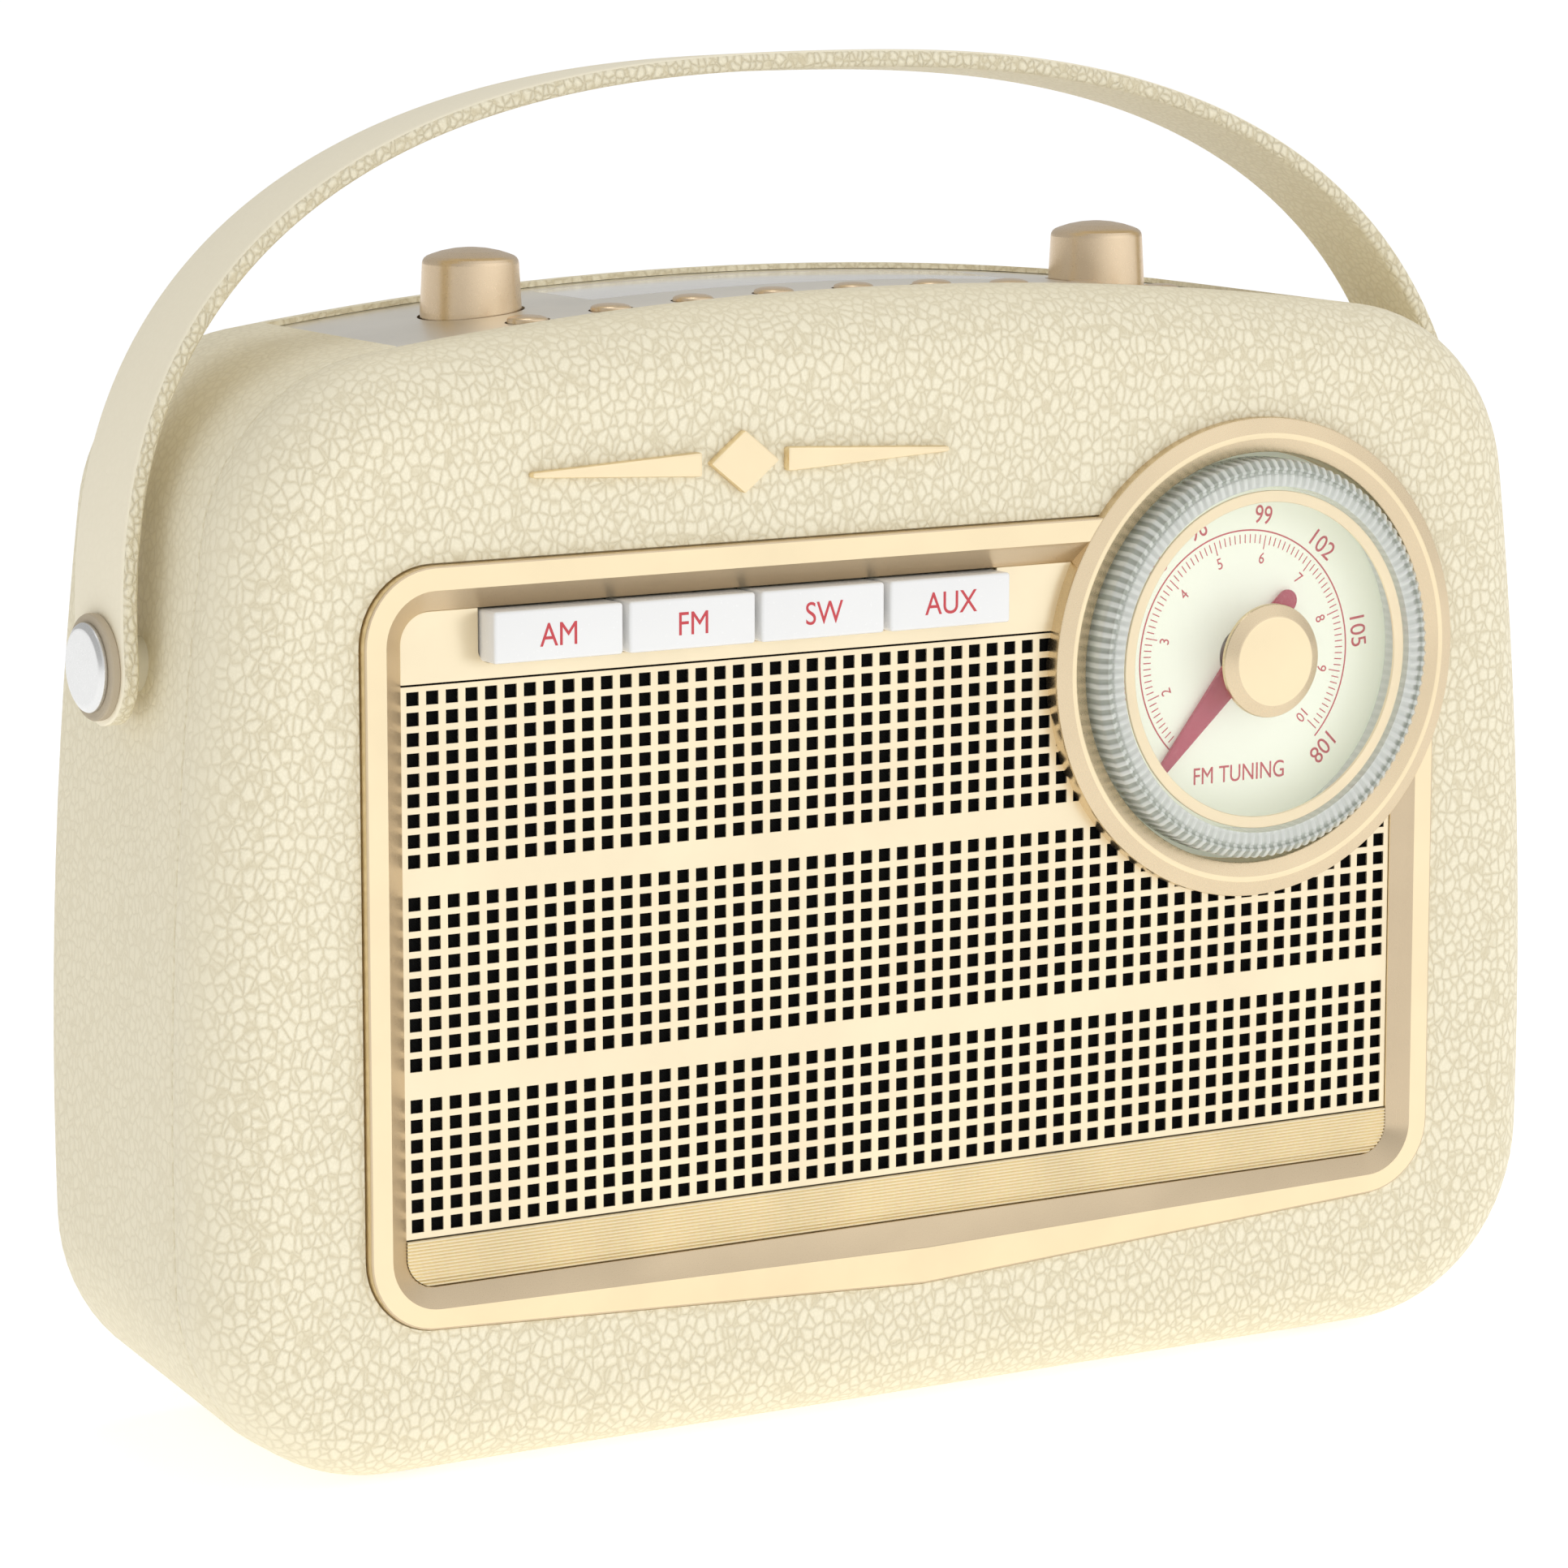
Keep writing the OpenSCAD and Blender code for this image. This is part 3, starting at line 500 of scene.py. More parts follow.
GOLD = (0.93, 0.78, 0.52)
LIGHT = (0.955, 0.885, 0.68)
GROOVE = (0.66, 0.575, 0.38)
finishes = {
    "cream_leather": leather("cream_leather", LIGHT, GROOVE, 1.75, 0.18, 0.75),
    "cream_shell": plastic("cream_shell", (0.78, 0.72, 0.54), 0.5),
    "door_plastic": plastic("door_plastic", (0.80, 0.74, 0.56), 0.48, 0.5, 0.05),
    "champagne_metal": satin("champagne_metal", GOLD, 0.33),
    "grille_metal": satin("grille_metal", (0.95, 0.82, 0.58), 0.34, metallic=0.75),
    "trim_metal": satin("trim_metal", (0.95, 0.84, 0.60), 0.30, (40, 1, 1), metallic=0.8),
    "knob_metal": satin("knob_metal", (0.78, 0.62, 0.43), 0.30, (1, 1, 4), 0.0015, wear=0.02),
    "top_metal": satin("top_metal", (0.93, 0.89, 0.80), 0.36, (60, 1, 1), 0.006),
    "acoustic_cloth": cloth("acoustic_cloth", (0.004, 0.004, 0.004)),
    "dial_print": dial_face("dial_print"),
    # Its light and dark bars are painted reflection
    "dial_clear": fluted(
        "dial_clear", (0.97, 0.99, 0.95), (0.50, 0.53, 0.47), 0.06, Transmission_Weight=0.35
    ),
    "window_clear": clear("window_clear", (0.97, 0.96, 0.93), 0.12, Coat_Weight=0.4),
    "pointer_red": plastic("pointer_red", (0.50, 0.045, 0.09), 0.25, 0.4, 0.004),
    "key_white": plastic("key_white", (0.90, 0.90, 0.89), 0.22, 0.6, 0.006, 0.02, Coat_Weight=0.4),
    "stud_steel": satin("stud_steel", (0.80, 0.80, 0.79), 0.30, (1, 3, 3)),
    "washer_texture": plastic("washer_texture", (0.52, 0.44, 0.32), 0.8, 0.3, 0.12, 0.2),
    "black_rubber": plastic("black_rubber", (0.03, 0.03, 0.03), 0.7, 0.5, 0.04),
    "black_plastic": plastic("black_plastic", (0.025, 0.025, 0.027), 0.4),
    "screw_steel": satin("screw_steel", (0.62, 0.63, 0.65), 0.35),
    "chrome_tube": satin("chrome_tube", (0.78, 0.79, 0.80), 0.14, (30, 1, 1), 0.002),
    "pcb": plastic("pcb", (0.03, 0.16, 0.07), 0.35, 1.2, 0.02, 0.3),
    "steel_can": satin("steel_can", (0.55, 0.56, 0.58), 0.4),
    "speaker_steel": satin("speaker_steel", (0.10, 0.10, 0.11), 0.45),
    "ferrite": plastic("ferrite", (0.10, 0.10, 0.105), 0.7, 0.8, 0.05),
    "cone_paper": cloth("cone_paper", (0.03, 0.03, 0.03)),
    "cell_wrap": plastic("cell_wrap", (0.10, 0.22, 0.48), 0.3, 2.0, 0.01, 0.15),
}
# Painted shade: darker copies of the gold for the bezel's chamfers, the dial ring's slopes and the cap's
# bevel, chosen by the way those faces turn
painted_shade_gold = satin("painted_shade_gold", (0.66, 0.53, 0.36), 0.30)
ring_painted_shade_gold = satin("ring_painted_shade_gold", (0.76, 0.62, 0.42), 0.28)
red_print = plastic("red_print", (0.62, 0.055, 0.07), 0.45, 0.3, 0.004)
smooth_leather = leather("smooth_leather", (0.97, 0.895, 0.70), GROOVE, 1.5, 0.06, 0.1)
edge_leather = leather("edge_leather", (0.92, 0.85, 0.65), GROOVE, 1.4, 0.3, 0.9)
clear_window = clear("clear_window", (0.95, 0.97, 0.95), 0.03, Alpha=0.06)

for node, shown in frame["nodes"].items():
    shown.data.materials.clear()
    shown.data.materials.append(finishes[slot_of[node]])


# ---- case ----


def turn_arc(centre, radius, start, end, steps):
    """Points on an outline arc by heading, where heading 0 faces down and 90 faces right."""
    points = []
    for i in range(steps + 1):
        a = math.radians(start + (end - start) * i / steps)
        points.append((centre[0] + radius * math.sin(a), centre[1] - radius * math.cos(a)))
    return points


def arc_centre(centre, radius, next_radius, heading):
    """Centre of the next arc, which touches this one at the heading."""
    return turn_arc(centre, radius - next_radius, heading, heading, 1)[0]


CENTRE_BOTTOM = (BOTTOM_FLAT, BOTTOM_R)
CENTRE_SIDE = arc_centre(CENTRE_BOTTOM, BOTTOM_R, SIDE_R, HEADING_SIDE)
CENTRE_TOP = arc_centre(CENTRE_SIDE, SIDE_R, TOP_R, HEADING_TOP)
ARCH_R = TOP_R + CENTRE_TOP[0] / math.sin(math.radians(HEADING_ARCH))
CENTRE_ARCH = arc_centre(CENTRE_TOP, TOP_R, ARCH_R, HEADING_ARCH)
Z_CROWN = FLOOR_GAP + CENTRE_ARCH[1] + ARCH_R


def case_ring(y, inset, lift=0.0):
    """The case outline at y, drawn in by inset and raised by lift."""
    half = turn_arc(CENTRE_BOTTOM, BOTTOM_R - inset, 0, HEADING_SIDE, 16)
    half += turn_arc(CENTRE_SIDE, SIDE_R - inset, HEADING_SIDE, HEADING_TOP, 12)[1:]
    half += turn_arc(CENTRE_TOP, TOP_R - inset, HEADING_TOP, HEADING_ARCH, 16)[1:]
    half += turn_arc(CENTRE_ARCH, ARCH_R - inset, HEADING_ARCH, 180, 12)[1:-1]
    top = (0, CENTRE_ARCH[1] + ARCH_R - inset)
    whole = half + [top] + [(-x, z) for x, z in reversed(half)]
    return [(x, y, z + FLOOR_GAP + lift) for x, z in whole]


def front_rings(inset, soft):
    """Rings of the front half from the seam to the flat face, whose last one lies flat."""
    wide, deep = (e - inset for e in FRONT_EDGE)
    rings = [case_ring(Y_SEAM - soft * (1 - math.cos(a)), inset + soft * (1 - math.sin(a)))
             for a in (0, math.pi / 6, math.pi / 3, math.pi / 2)]
    for i in range(17):
        a = math.pi / 2 * (1 - i / 16)
        rings.append(case_ring(Y_FRONT + inset + deep * (1 - math.cos(a)), inset + wide * (1 - math.sin(a))))
    return rings + [case_ring(Y_FRONT + inset, inset + wide + 0.5)]


def rear_rings(inset, soft):
    """Rings of the rear half from the seam to the flat back."""
    edge = BACK_EDGE - inset
    rings = [case_ring(Y_SEAM + soft * (1 - math.cos(a)), inset + soft * (1 - math.sin(a)))
             for a in (0, math.pi / 6, math.pi / 3, math.pi / 2)]
    rings.append(case_ring(Y_SEAM + 5.5, inset))
    for i in range(11):
        a = math.pi / 2 * (1 - i / 10)
        draw = inset + BACK_INSET + edge * (1 - math.sin(a))
        rings.append(case_ring(Y_BACK - inset - edge * (1 - math.cos(a)), draw, BACK_LIFT))
    return rings + [case_ring(Y_BACK - inset, inset + BACK_INSET + edge + 0.5, BACK_LIFT)]


def bezel_loop(grow, y_side, y_bottom, hw, z0, z1, radius, drop):
    """A loop round the fascia. Its bottom runs to a shallow point, and it may lie at another y there."""
    hw, z0, z1, radius = hw + grow, z0 - grow, z1 + grow, radius + grow
    loop = []
    for i in range(9):
        x = (hw - radius) * i / 8
        loop.append((x, y_bottom, z0 - drop * (1 - i / 8)))
    for i in range(1, 13):
        a = math.radians(-90 + 90 * i / 12)
        mix = 0.5 - 0.5 * math.cos(math.pi * i / 12)
        y = y_bottom + (y_side - y_bottom) * mix
        loop.append((hw - radius + radius * math.cos(a), y, z0 + radius + radius * math.sin(a)))
    for i in range(13):
        a = math.radians(90 * i / 12)
        loop.append((hw - radius + radius * math.cos(a), y_side, z1 - radius + radius * math.sin(a)))
    return loop + [(-x, y, z) for x, y, z in reversed(loop[1:])]


def outer_bezel(grow, y_side, y_bottom):
    return bezel_loop(grow, y_side, y_bottom, BEZEL_HW, BEZEL_Z0, BEZEL_Z1, BEZEL_R, BEZEL_DROP)


def ring_cutter(radius):
    return lathe("cutter", [(0, -20), (radius, -20), (radius, 30), (0, 30)], DIAL, "front", 192)


def block(low, high):
    """A plain box for cutting."""
    (x0, y0, z0), (x1, y1, z1) = low, high
    return raw("block", *loft([[(x, y0, z0), (x, y1, z0), (x, y1, z1), (x, y0, z1)] for x in (x0, x1)]))


def make_case():
    rings = front_rings(LEATHER_T, 0.0)[::-1] + front_rings(0, 0.5)
    front = raw("leather_front", *loft(rings))
    hole = raw("cutter", *loft([outer_bezel(0.25, y, y) for y in (Y_FRONT - 9, Y_FRONT + 9)]))
    carve(front, hole)
    carve(front, ring_cutter(PAN_CUT_R))
    place(front, "case", finishes["cream_leather"], ["front_leather"])

    rings = rear_rings(LEATHER_T, 0.0)[::-1] + rear_rings(0, 0.5)
    rear = raw("leather_rear", *loft(rings))
    plate_low, plate_high = box("top_panel")
    cutters = [block((plate_low.x - 0.2, Y_SEAM - 3, Z_CROWN - 30),
                     (plate_high.x + 0.2, plate_high.y + 0.15, Z_CROWN + 9))]
    door_low, door_high = box("battery_door")
    cutters.append(block((door_low.x + 0.4, Y_BACK - 4, door_low.z - 1.6),
                         (door_high.x - 0.4, Y_BACK + 4, door_high.z + 0.5)))
    for low, high in islands("rear_sockets") + islands("case_screws", 2.5) + islands("aerial_swivel"):
        radius = 4.7 if high.z - low.z > 8.5 else 3.3
        spot = Vector(((low.x + high.x) / 2, Y_BACK, (low.z + high.z) / 2))
        cutters.append(lathe("cutter", [(0, -4), (radius, -4), (radius, 4), (0, 4)], spot, "front", 48))
    carve(rear, join("cutter", cutters))
    place(rear, "case", finishes["cream_leather"], ["rear_leather"])


def islands(node, least=0.0):
    """Boxes of a CAD node's separate solids in millimetres, wider than the least size, in mesh order."""
    bm = bmesh.new()
    bm.from_mesh(frame["nodes"][node].data)
    bmesh.ops.remove_doubles(bm, verts=bm.verts, dist=1e-7)
    left, boxes = set(bm.verts), []
    for start in bm.verts:
        if start not in left:
            continue
        left.remove(start)
        group, edge = set(), [start]
        while edge:
            vert = edge.pop()
            group.add(vert)
            for link in vert.link_edges:
                other = link.other_vert(vert)
                if other in left:
                    left.remove(other)
                    edge.append(other)
        low = Vector([min(v.co[i] for v in group) for i in range(3)]) / MM
        high = Vector([max(v.co[i] for v in group) for i in range(3)]) / MM
        if high.x - low.x > least:
            boxes.append((low, high))
    bm.free()
    return boxes


# ---- fascia ----


def make_bezel():
    crest = dict(hw=OPEN_HW + 3.6, z0=OPEN_Z0 - 3.2, z1=OPEN_Z1 + 3.5, radius=CREST_R, drop=1.55)
    inner = dict(hw=OPEN_HW, z0=OPEN_Z0, z1=OPEN_Z1, radius=OPEN_R, drop=0.0)
    low = BEZEL_Y + 0.8
    rings = [
        outer_bezel(0, Y_FRONT + 1, Y_FRONT + 1),
        outer_bezel(0, BEZEL_Y + 0.3, low + 0.3),
        outer_bezel(-0.1, BEZEL_Y + 0.1, low + 0.1),
        outer_bezel(-0.35, BEZEL_Y, low),
        bezel_loop(0.12, BEZEL_Y, BEZEL_Y + 0.05, **crest),
        bezel_loop(0.0, BEZEL_Y + 0.02, BEZEL_Y + 0.02, **crest),
        bezel_loop(-0.12, BEZEL_Y + 0.12, BEZEL_Y + 0.12, **crest),
        bezel_loop(0.15, Y_PLATE - 0.5, Y_PLATE - 0.5, **inner),
        bezel_loop(0.05, Y_PLATE - 0.4, Y_PLATE - 0.4, **inner),
        bezel_loop(0.0, Y_PLATE, Y_PLATE, **inner),
    ]
    bezel = raw("bezel", *loft(rings, closed=True))
    carve(bezel, ring_cutter(RING_R - 0.4))
    gold_and_painted_shade = [finishes["champagne_metal"], painted_shade_gold]
    place(bezel, "case", gold_and_painted_shade, ["fascia_bezel"], 14)
    # Painted shade: the tilted chamfer faces, between facing straight ahead and facing sideways, take the
    # darker gold
    for polygon in bezel.data.polygons:
        polygon.material_index = int(-0.93 < polygon.normal.y < -0.3)


def make_key_panel():
    keys = [box(f"mode_key_{i}") for i in range(1, 5)]
    left, right = keys[0][0].x - 0.35, keys[3][1].x + 0.35
    low = keys[0][0].z + 1.3 - 0.35
    corner = 2.2
    z0 = grille_high.z + 0.3
    outline = [(-OPEN_HW, z0), (DIAL.x, z0), (DIAL.x, OPEN_Z1), (right, OPEN_Z1), (right, low)]
    outline += [(x, z) for x, z in arc(left + corner, low + corner, corner, 270, 180, 8)]
    outline += [(left, OPEN_Z1)]
    outline += arc(-OPEN_HW + OPEN_R, OPEN_Z1 - OPEN_R, OPEN_R, 90, 180, 8)
    panel = slab("fascia_panel", outline, Y_PLATE - 0.2, Y_PLATE + 1)
    bevelled(panel, 0.2, 2)
    carve(panel, ring_cutter(PAN_CUT_R))
    place(panel, "case", finishes["grille_metal"], ["key_panel"])


# HOLE is half a hole's width and height. BANDS is the height of each band's lowest row, and its rows
COLUMN_PITCH, COLUMNS, HOLE = 3.5, 55, (1.1, 1.1)
ROW_PITCH = 3.25
BANDS = ((44.13, 7), (70.3, 9), (103.15, 9))


def make_grille():
    """A thin plate with three bands of square holes, cut away behind the dial ring."""
    columns = [COLUMN_PITCH * (i - (COLUMNS - 1) / 2) for i in range(COLUMNS)]
    rows = [z0 + ROW_PITCH * k for z0, count in BANDS for k in range(count)]
    xs = [grille_low.x] + [x + s * HOLE[0] for x in columns for s in (-1, 1)] + [grille_high.x]
    zs = [grille_low.z] + [z + s * HOLE[1] for z in rows for s in (-1, 1)] + [grille_high.z]
    depths = (Y_PLATE - 0.1, Y_PLATE + 0.25)
    nx, nz = len(xs), len(zs)
    verts = [(x, y, z) for y in depths for z in zs for x in xs]
    back = nx * nz

    def solid(i, j):
        if not (0 <= i < nx - 1 and 0 <= j < nz - 1):
            return False
        away = math.hypot((xs[i] + xs[i + 1]) / 2 - DIAL.x, (zs[j] + zs[j + 1]) / 2 - DIAL.z)
        hole = i % 2 == 1 and j % 2 == 1 and away > RING_R - 1.5
        return away > PAN_CUT_R + 0.2 and not hole

    faces = []
    for j in range(nz - 1):
        for i in range(nx - 1):
            if not solid(i, j):
                continue
            a = j * nx + i
            quad = (a, a + 1, a + nx + 1, a + nx)
            faces += [quad, tuple(v + back for v in reversed(quad))]
            beside = ((i, j - 1), (i + 1, j), (i, j + 1), (i - 1, j))
            for next_cell, p, q in zip(beside, quad, quad[1:] + quad[:1]):
                if not solid(*next_cell):
                    faces.append((p, q, q + back, p + back))
    plate = raw("grille_plate", verts, faces)
    place(plate, "case", finishes["grille_metal"], ["speaker_grille"])


def make_trim():
    """A strip of fine level ribs with rounded lower corners."""
    z0, z1 = OPEN_Z0 + 0.1, grille_low.z - 0.25
    ribs, steps, corner = 14, 6, 5.1
    y0, y1 = Y_PLATE - 0.25, Y_PLATE + 0.9
    rows = []
    for k in range(ribs * steps + 1):
        z = z0 + (z1 - z0) * k / (ribs * steps)
        swell = math.sin(math.pi * (k % steps) / steps)
        below = max(corner - (z - z0), 0)
        half = OPEN_HW - 0.1 - corner + math.sqrt(max(corner * corner - below * below, 0.04))
        rib_y = y0 - 0.34 * swell
        rows.append([(-half, rib_y, z), (half, rib_y, z), (half, y1, z), (-half, y1, z)])
    strip = raw("ribbed_strip", *loft(rows))
    place(strip, "case", finishes["trim_metal"], ["ribbed_trim"], 50)


def make_badge():
    """A lozenge between two tapered bars."""
    low, high = box("front_badge")
    x, z = (low.x + high.x) / 2, (low.z + high.z) / 2
    half, tall = (high.x - low.x) / 2, (high.z - low.z) / 2
    shapes = [[(x - 6.5, z), (x, z - tall), (x + 6.5, z), (x, z + tall)]]
    for s in (-1, 1):
        bar = [(8, -2), (half, -0.45), (half, 0.45), (8, 2)]
        shapes.append([(x + s * u, z + v) for u, v in (bar if s > 0 else bar[::-1])])
    solids = [slab("shape", s, low.y, Y_FRONT + 0.3) for s in shapes]
    badge = join("front_ornament", solids)
    bevelled(badge, 0.45, 2)
    place(badge, "case", finishes["champagne_metal"], ["front_badge"], 20)


KEY_LABELS = ("AM", "FM", "SW", "AUX")


def make_keys():
    for i, label in enumerate(KEY_LABELS, 1):
        low, high = box(f"mode_key_{i}")
        z0, z1 = low.z + 1.3, high.z - 1.3
        outline = [(low.x, z0), (high.x, z0), (high.x, z1), (low.x, z1)]
        key = slab(f"key_cap_{i}", outline, low.y, Y_PLATE + 3.5)
        bevelled(key, 0.55, 4)
        place(key, f"key_{i}", finishes["key_white"], [f"mode_key_{i}"])
        spot = at((low.x + high.x) / 2, low.y - 0.01, (z0 + z1) / 2)
        print_ = letters(label, 3.7, spot, 0.04)
        print_.name = f"key_print_{i}"
        place(print_, f"key_{i}", red_print)


# ---- tuning dial ----


def dial_at(height):
    return DIAL.y - height


# Outer labels of the dial and the angles they stand at
DIAL_LABELS = (
    ("88", 190), ("90", 166), ("93", 138), ("96", 114), ("99", 81), ("102", 48.5), ("105", 6.5), ("108", -45)
)


def make_dial_case_parts():
    r = RING_R
    profile = [
        (5, -2.5), (r - 5.2, -2.5), (r - 5.2, -0.4), (r, -0.4), (r, 2.5), (r - 0.1, 2.75), (r - 0.3, 2.85),
        (r - 2.6, 3.7), (r - 2.8, 3.8), (r - 3.3, 3.8), (r - 3.5, 3.7), (r - 5.75, 2.85), (r - 5.87, 2.75),
        (r - 5.9, 2.5), (r - 5.9, -1.9), (5, -1.9),
    ]
    ring = lathe("dial_surround", profile, DIAL, "front", 256)
    place(ring, "case", [ring_painted_shade_gold, finishes["champagne_metal"]], ["dial_ring"], 30)
    # Painted shade: all of the ring except a band at its crest takes the darker gold, so the crest stands out
    # lighter
    for polygon in ring.data.polygons:
        away = math.hypot(polygon.center.x / MM - DIAL.x, polygon.center.z / MM - DIAL.z)
        polygon.material_index = int(abs(away - r + 3.05) < 0.45)
    profile = [(5, -2), (r - 6, -2), (r - 6, -1.5), (r - 6.1, FACE_H), (5, FACE_H)]
    plate = lathe("dial_disc", profile, DIAL, "front", 192)
    place(plate, "case", finishes["dial_print"], ["dial_plate"])

    face = dial_at(FACE_H + 0.02)
    centre = Vector((DIAL.x, DIAL.z))
    start, end = FIRST_TICK + TICK_STEP, FIRST_TICK - TICK_STEP * TICKS
    line = arc(*centre, SCALE_R + SCALE_WIDTH, start, end, 120) + arc(*centre, SCALE_R, end, start, 120)
    marks = [slab("mark", line, face - 0.02, face + 0.02)]
    for k in range(TICKS):
        angle = math.radians(FIRST_TICK - TICK_STEP * k)
        out, side = Vector((math.cos(angle), math.sin(angle))), Vector((-math.sin(angle), math.cos(angle)))
        long = 2.4 if k % 10 == 0 else 1.5
        points = [centre + out * (SCALE_R - 0.6 - a * long) + side * b * 0.09
                  for a, b in ((0, -1), (1, -1), (1, 1), (0, 1))]
        marks.append(slab("mark", [tuple(p) for p in points], face - 0.02, face + 0.02))

    def around(text, angle, radius, height, width):
        x, z = arc(*centre, radius, angle, angle, 1)[0]
        marks.append(letters(text, height, at(x, face, z, angle - 90), 0.04, width))

    for k in range(10):
        around(str(k + 1), FIRST_TICK - 10 * TICK_STEP * k, 16.9, 1.9, None)
    for text, angle in DIAL_LABELS:
        around(text, angle, 24.3, 3.1, 1.75 * len(text))
    marks.append(letters("FM TUNING", 2.9, at(DIAL.x - 0.7, face, DIAL.z - 20.3), 0.04, 18.9))
    print_ = join("dial_scale", marks)
    place(print_, "case", red_print)


def make_dial_knob():
    r = KNOB_R
    profile = [
        (29.7, -0.9), (r - 0.3, -0.9), (r, -0.5), (r, 4.6), (r - 0.3, 5.1), (r - 1.0, 5.75), (r - 1.35, 6.05),
        (r - 1.75, 6.05), (r - 1.95, 5.7), (r - 2.35, 5.7), (r - 2.55, 6.0), (r - 3.9, 6.0), (r - 4.2, 5.9),
        (29.7, 5.9),
    ]
    ripples = {3: (0.26, 0), 4: (0.3, 0.2), 5: (0.3, 0.3), 6: (0, 0.28), 10: (0, 0.36), 11: (0, 0.36)}

    def wave(index, k):
        dr, dh = ripples.get(index, (0, 0))
        swing = max(-0.5, min(0.5, 0.85 * math.sin(2 * math.pi * k / 6)))
        return dr * (swing - 0.5), dh * (swing - 0.1)

    rim = lathe("dial_rim", profile, DIAL, "front", FLUTES * 6, wave)
    place(rim, "tuning_dial", finishes["dial_clear"], ["dial_knob"], 40)
    profile = [
        (3.1, 5.42), (29.6, 5.42), (29.6, 5.88), (11.9, 5.88), (11.75, 6.08), (11.05, 6.08), (10.9, 5.88),
        (3.1, 5.88),
    ]
    window = lathe("dial_glass", profile, DIAL, "front", 192)
    place(window, "tuning_dial", clear_window)
    profile = [(27.0, 4.92), (29.0, 4.92), (29.0, 5.25), (28.9, 5.35), (27.1, 5.35), (27.0, 5.25)]
    trim = lathe("dial_inner_ring", profile, DIAL, "front", 192)
    place(trim, "tuning_dial", finishes["champagne_metal"], ["dial_trim"])

    u = math.radians(POINTER_ANGLE)
    shape = [(0, -3.1), (25.0, -0.95)] + [(25.0 + x, z) for x, z in arc(0, 0, 0.9, -80, 80, 6)]
    shape += [(25.0, 0.95), (0, 3.1)] + [(x - 12.2, z) for x, z in arc(0, 0, 1.95, 95, 265, 10)]
    outline = [(DIAL.x + a * math.cos(u) - b * math.sin(u), DIAL.z + a * math.sin(u) + b * math.cos(u))
               for a, b in shape]
    pointer = slab("dial_needle", outline, dial_at(-0.1), dial_at(-0.9))
    bevelled(pointer, 0.25, 3, 30)
    place(pointer, "tuning_dial", finishes["pointer_red"], ["dial_pointer"])

    r = CAP_R
    profile = [
        (0, 5.95), (r - 0.3, 5.95), (r, 6.1), (r, 6.72), (r - 0.1, 6.88), (r - 1.95, 7.9), (r - 2.15, 7.98),
        (r - 2.4, 8.0), (0, 8.0),
    ]
    cap = lathe("dial_centre", profile, DIAL, "front", 160)
    gold_and_painted_shade = [finishes["champagne_metal"], ring_painted_shade_gold]
    place(cap, "tuning_dial", gold_and_painted_shade, ["dial_cap"], 25)
    # Painted shade: the cap's bevel and sides, which do not face straight ahead, take the darker gold
    for polygon in cap.data.polygons:
        polygon.material_index = int(polygon.normal.y > -0.93)
    profile = [(0, -1.3), (3, -1.3), (3, 6.3), (0, 6.3)]
    hub = lathe("dial_hub", profile, DIAL, "front", 48)
    place(hub, "tuning_dial", finishes["screw_steel"])


# ---- top ----


def make_top():
    for name, body in (("volume_knob", "volume_cap"), ("select_knob", "select_cap")):
        low, high = box(name)
        spot = middle(name)
        r = (high.x - low.x) / 2
        spot.z = high.z - 10.7
        profile = [
            (0, -1.8), (r, -1.8), (r, 0.2), (r - 0.42, 8.1), (r - 0.5, 8.5), (r - 0.75, 8.95), (r - 1.2, 9.3),
            (r - 1.8, 9.55), (r - 3.5, 10.1), (r - 5.5, 10.5), (r - 7.2, 10.67), (0, 10.7),
        ]
        knob = lathe(name + "_turned", profile, spot, "up", 144)
        place(knob, body, finishes["knob_metal"], [name], 30)
    for i in range(1, 10):
        low, high = box(f"preset_button_{i}")
        spot = middle(f"preset_button_{i}")
        spot.z = high.z - 1.0
        r = (high.x - low.x) / 2
        profile = [
            (0, -2.6), (r, -2.6), (r, 0.25), (r - 0.1, 0.45), (r - 0.35, 0.62), (r - 1.1, 0.85),
            (r - 2.2, 0.97), (0, 1.0),
        ]
        button = lathe(f"button_cap_{i}", profile, spot, "up", 64)
        place(button, f"button_{i}", finishes["knob_metal"], [f"preset_button_{i}"], 30)


# ---- handle ----


def strap_point(t):
    """Place on the strap's outer edge and its outward normal, at t in degrees from the pivot to the top."""
    c, s = max(math.cos(math.radians(t)), 0.0), math.sin(math.radians(t))
    x, z = STRAP_HW * c ** (2 / STRAP_N), STRAP_RISE * s ** (2 / STRAP_N)
    normal = Vector((x ** (STRAP_N - 1) / STRAP_HW ** STRAP_N, z ** (STRAP_N - 1) / STRAP_RISE ** STRAP_N))
    return Vector((x, z)), normal.normalized()


def strap_section(point, normal, half):
    """A rounded section across the strap, whose outer face comes first."""
    corner, points = min(1.1, half * 0.5), []
    middle_at, reach = point - normal * (STRAP_T / 2), STRAP_T / 2 - corner
    for side, turn in ((1, 90), (-1, 180), (-1, 270), (1, 0)):
        across = side * (half - corner)
        up = reach if turn in (90, 180) else -reach
        for i in range(5):
            a = math.radians({90: 0, 180: 90, 270: 180, 0: 270}[turn] + 22.5 * i)
            y, d = across + corner * math.cos(a), up + corner * math.sin(a)
            place_at = middle_at + normal * d
            points.append((place_at.x, y, PIVOT_Z + place_at.y))
    return points


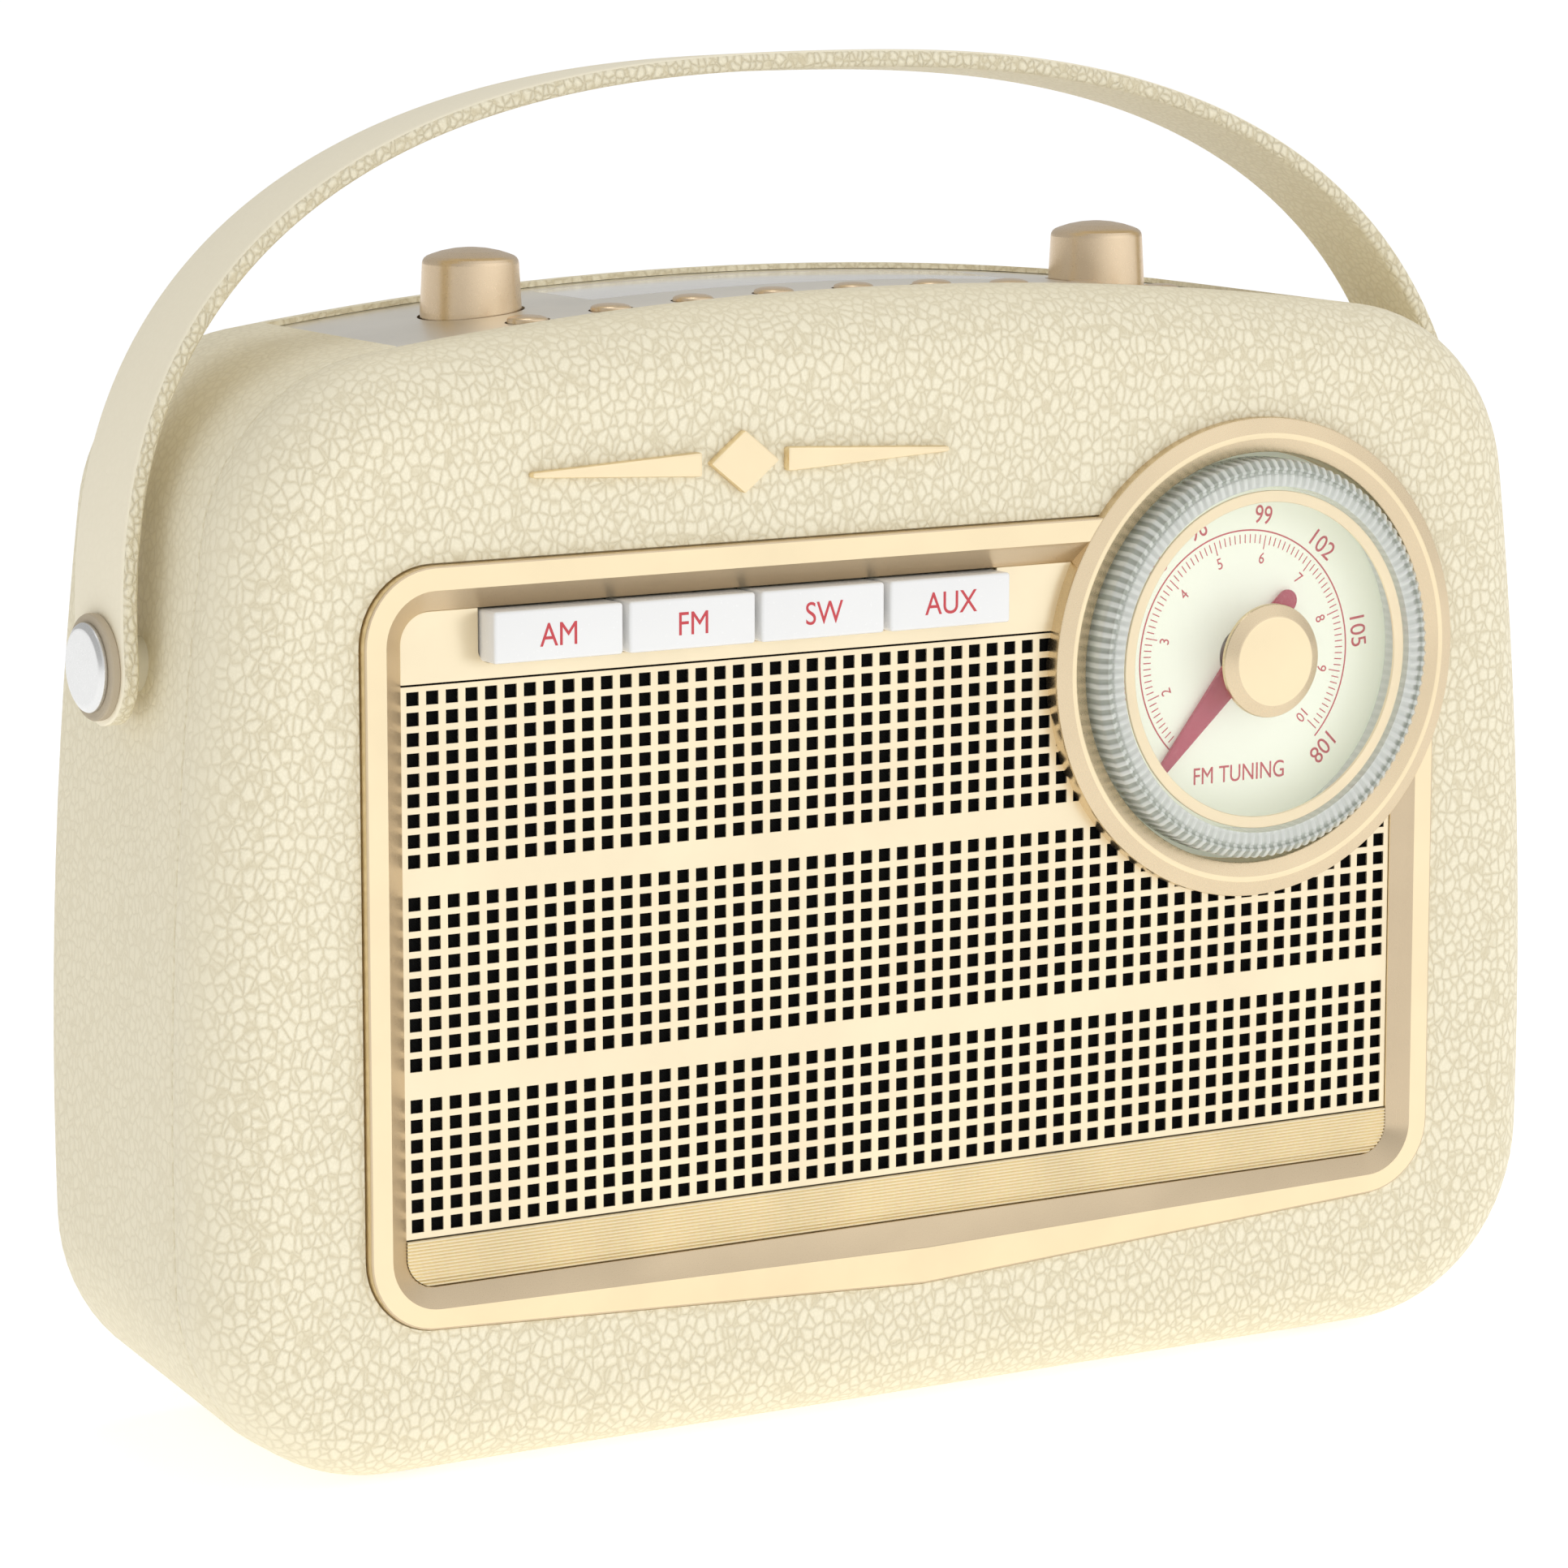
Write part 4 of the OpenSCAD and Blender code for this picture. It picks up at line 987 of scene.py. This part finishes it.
def make_handle():
    end_r = STRAP_W / 2
    half = []
    for i in range(12):
        a = math.radians(88 - 88 * i / 11)
        point = Vector((STRAP_HW, -end_r * math.sin(a)))
        half.append(strap_section(point, Vector((1, 0)), max(end_r * math.cos(a), 0.4)))
    steps = 110
    for i in range(1, steps):
        point, normal = strap_point(90 * (i / steps) ** 1.25)
        half.append(strap_section(point, normal, end_r))
    top = strap_section(Vector((0, STRAP_RISE)), Vector((0, 1)), end_r)
    mirrored = [[(-x, y, z) for x, y, z in section] for section in reversed(half)]
    rings = half + [top] + mirrored
    verts, faces = loft(rings)
    strap = raw("strap", verts, faces)
    n = len(top)
    outer_face = [2 <= index % n <= 6 and index < n * (len(rings) - 1) for index in range(len(faces))]
    pivot = Matrix.Translation((0, 0, PIVOT_Z * MM))
    strap.data.transform(pivot @ Matrix.Rotation(math.radians(-STRAP_LEAN), 4, "X") @ pivot.inverted())
    place(strap, "handle", [edge_leather, smooth_leather], ["handle_strap"], 50)
    for polygon, smooth in zip(strap.data.polygons, outer_face):
        polygon.material_index = int(smooth)

    flange = islands("pivot_bushes")
    for side, s in (("right", 1), ("left", -1)):
        low, high = next(pair for pair in flange if s * pair[0].x > 0)
        inner, outer = sorted((abs(low.x), abs(high.x)))
        profile = [(2.1, inner), (4.5, inner), (4.5, outer - 0.2), (4.3, outer), (2.1, outer)]
        bush = lathe(f"bush_{side}", profile, Vector((0, 0, PIVOT_Z)), side, 64)
        nodes = ["pivot_bushes"] if s > 0 else []
        place(bush, "case", finishes["cream_shell"], nodes)
        spot = Vector((s * STRAP_HW, 0, PIVOT_Z))
        profile = [
            (2.1, 0), (8.3, 0), (8.55, 0.2), (8.6, 0.5), (8.6, 1.2), (8.45, 1.5), (8.1, 1.6), (2.1, 1.6),
        ]
        washer = lathe(f"washer_{side}", profile, spot, side, 96)
        nodes = ["handle_washers"] if s > 0 else []
        place(washer, "handle", finishes["washer_texture"], nodes)
        profile = [
            (0, -13), (2, -13), (2, 1.55), (6.9, 1.6), (7.15, 1.75), (7.2, 2.0), (7.2, 2.25), (7.1, 2.45),
            (6.5, 2.88), (6.3, 2.97), (6.0, 3.0), (0, 3.0),
        ]
        stud = lathe(f"stud_{side}", profile, spot, side, 96)
        nodes = ["handle_studs"] if s > 0 else []
        place(stud, "handle", finishes["stud_steel"], nodes, 25)


# ---- stage ----


def look(obj, place_at, target):
    obj.location = place_at
    obj.rotation_mode = "QUATERNION"
    obj.rotation_quaternion = (Vector(target) - Vector(place_at)).to_track_quat("-Z", "Y")


def area(name, place_at, target, size, power, colour=(1, 1, 1)):
    lamp = bpy.data.lights.new(name, "AREA")
    lamp.shape = "RECTANGLE"
    lamp.size, lamp.size_y = size
    lamp.energy = power
    lamp.color = colour
    obj = bpy.data.objects.new(name, lamp)
    bpy.context.scene.collection.objects.link(obj)
    look(obj, place_at, target)


def make_stage():
    floor = bpy.data.meshes.new("floor")
    reach = 30
    corners = [(-reach, -reach, 0), (reach, -reach, 0), (reach, reach, 0), (-reach, reach, 0)]
    floor.from_pydata(corners, [], [(0, 1, 2, 3)])
    ground = bpy.data.objects.new("floor", floor)
    bpy.context.scene.collection.objects.link(ground)
    white = (0.85, 0.85, 0.855)
    f = Finish("floor", white, 0.75, Specular_IOR_Level=0.15, Emission_Strength=0.5)
    f.set(f.shader, "Emission Color", (1, 1, 1, 1))
    f.colour(f.blend(f.noise(60, 2), white, [c * 0.99 for c in white]))
    floor.materials.append(f.material)

    # Soft room light: even all round, and brighter from a wide window ahead and to the right
    world = bpy.data.worlds.new("studio")
    bpy.context.scene.world = world
    world.use_nodes = True
    tree = world.node_tree

    def step(kind, operation, first, second, third=None):
        made = tree.nodes.new(kind)
        made.operation = operation
        for i, value in enumerate((first, second, third)):
            if isinstance(value, bpy.types.NodeSocket):
                tree.links.new(value, made.inputs[i])
            elif value is not None:
                made.inputs[i].default_value = value
        return made.outputs["Value"]

    ahead = Vector((0.45, -0.85, 0.22)).normalized()
    coords = tree.nodes.new("ShaderNodeTexCoord")
    towards = step("ShaderNodeVectorMath", "DOT_PRODUCT", coords.outputs["Generated"], ahead)
    lobe = step("ShaderNodeMath", "POWER", step("ShaderNodeMath", "MAXIMUM", towards, 0.0), 2.0)
    level = step("ShaderNodeMath", "MULTIPLY_ADD", lobe, 0.70, 0.53)
    tree.links.new(level, tree.nodes["Background"].inputs["Strength"])
    tree.nodes["Background"].inputs["Color"].default_value = (1, 1, 1, 1)
    area("overhead", (-0.1, 0.1, 1.2), (0, 0, 0.1), (0.7, 0.35), 1.5)

    camera_data = bpy.data.cameras.new("camera")
    camera_data.lens = 135.5
    camera_data.sensor_width = 36
    camera_data.clip_start, camera_data.clip_end = 0.05, 60
    camera = bpy.data.objects.new("camera", camera_data)
    bpy.context.scene.collection.objects.link(camera)
    look(camera, (-0.5158, -0.8510, 0.2672), (-0.0063, 0.0, 0.1034))
    bpy.context.scene.camera = camera
    bpy.context.scene.view_settings.view_transform = "Standard"


make_stage()
make_case()
make_bezel()
make_key_panel()
make_grille()
make_trim()
make_badge()
make_keys()
make_dial_case_parts()
make_dial_knob()
make_top()
make_handle()
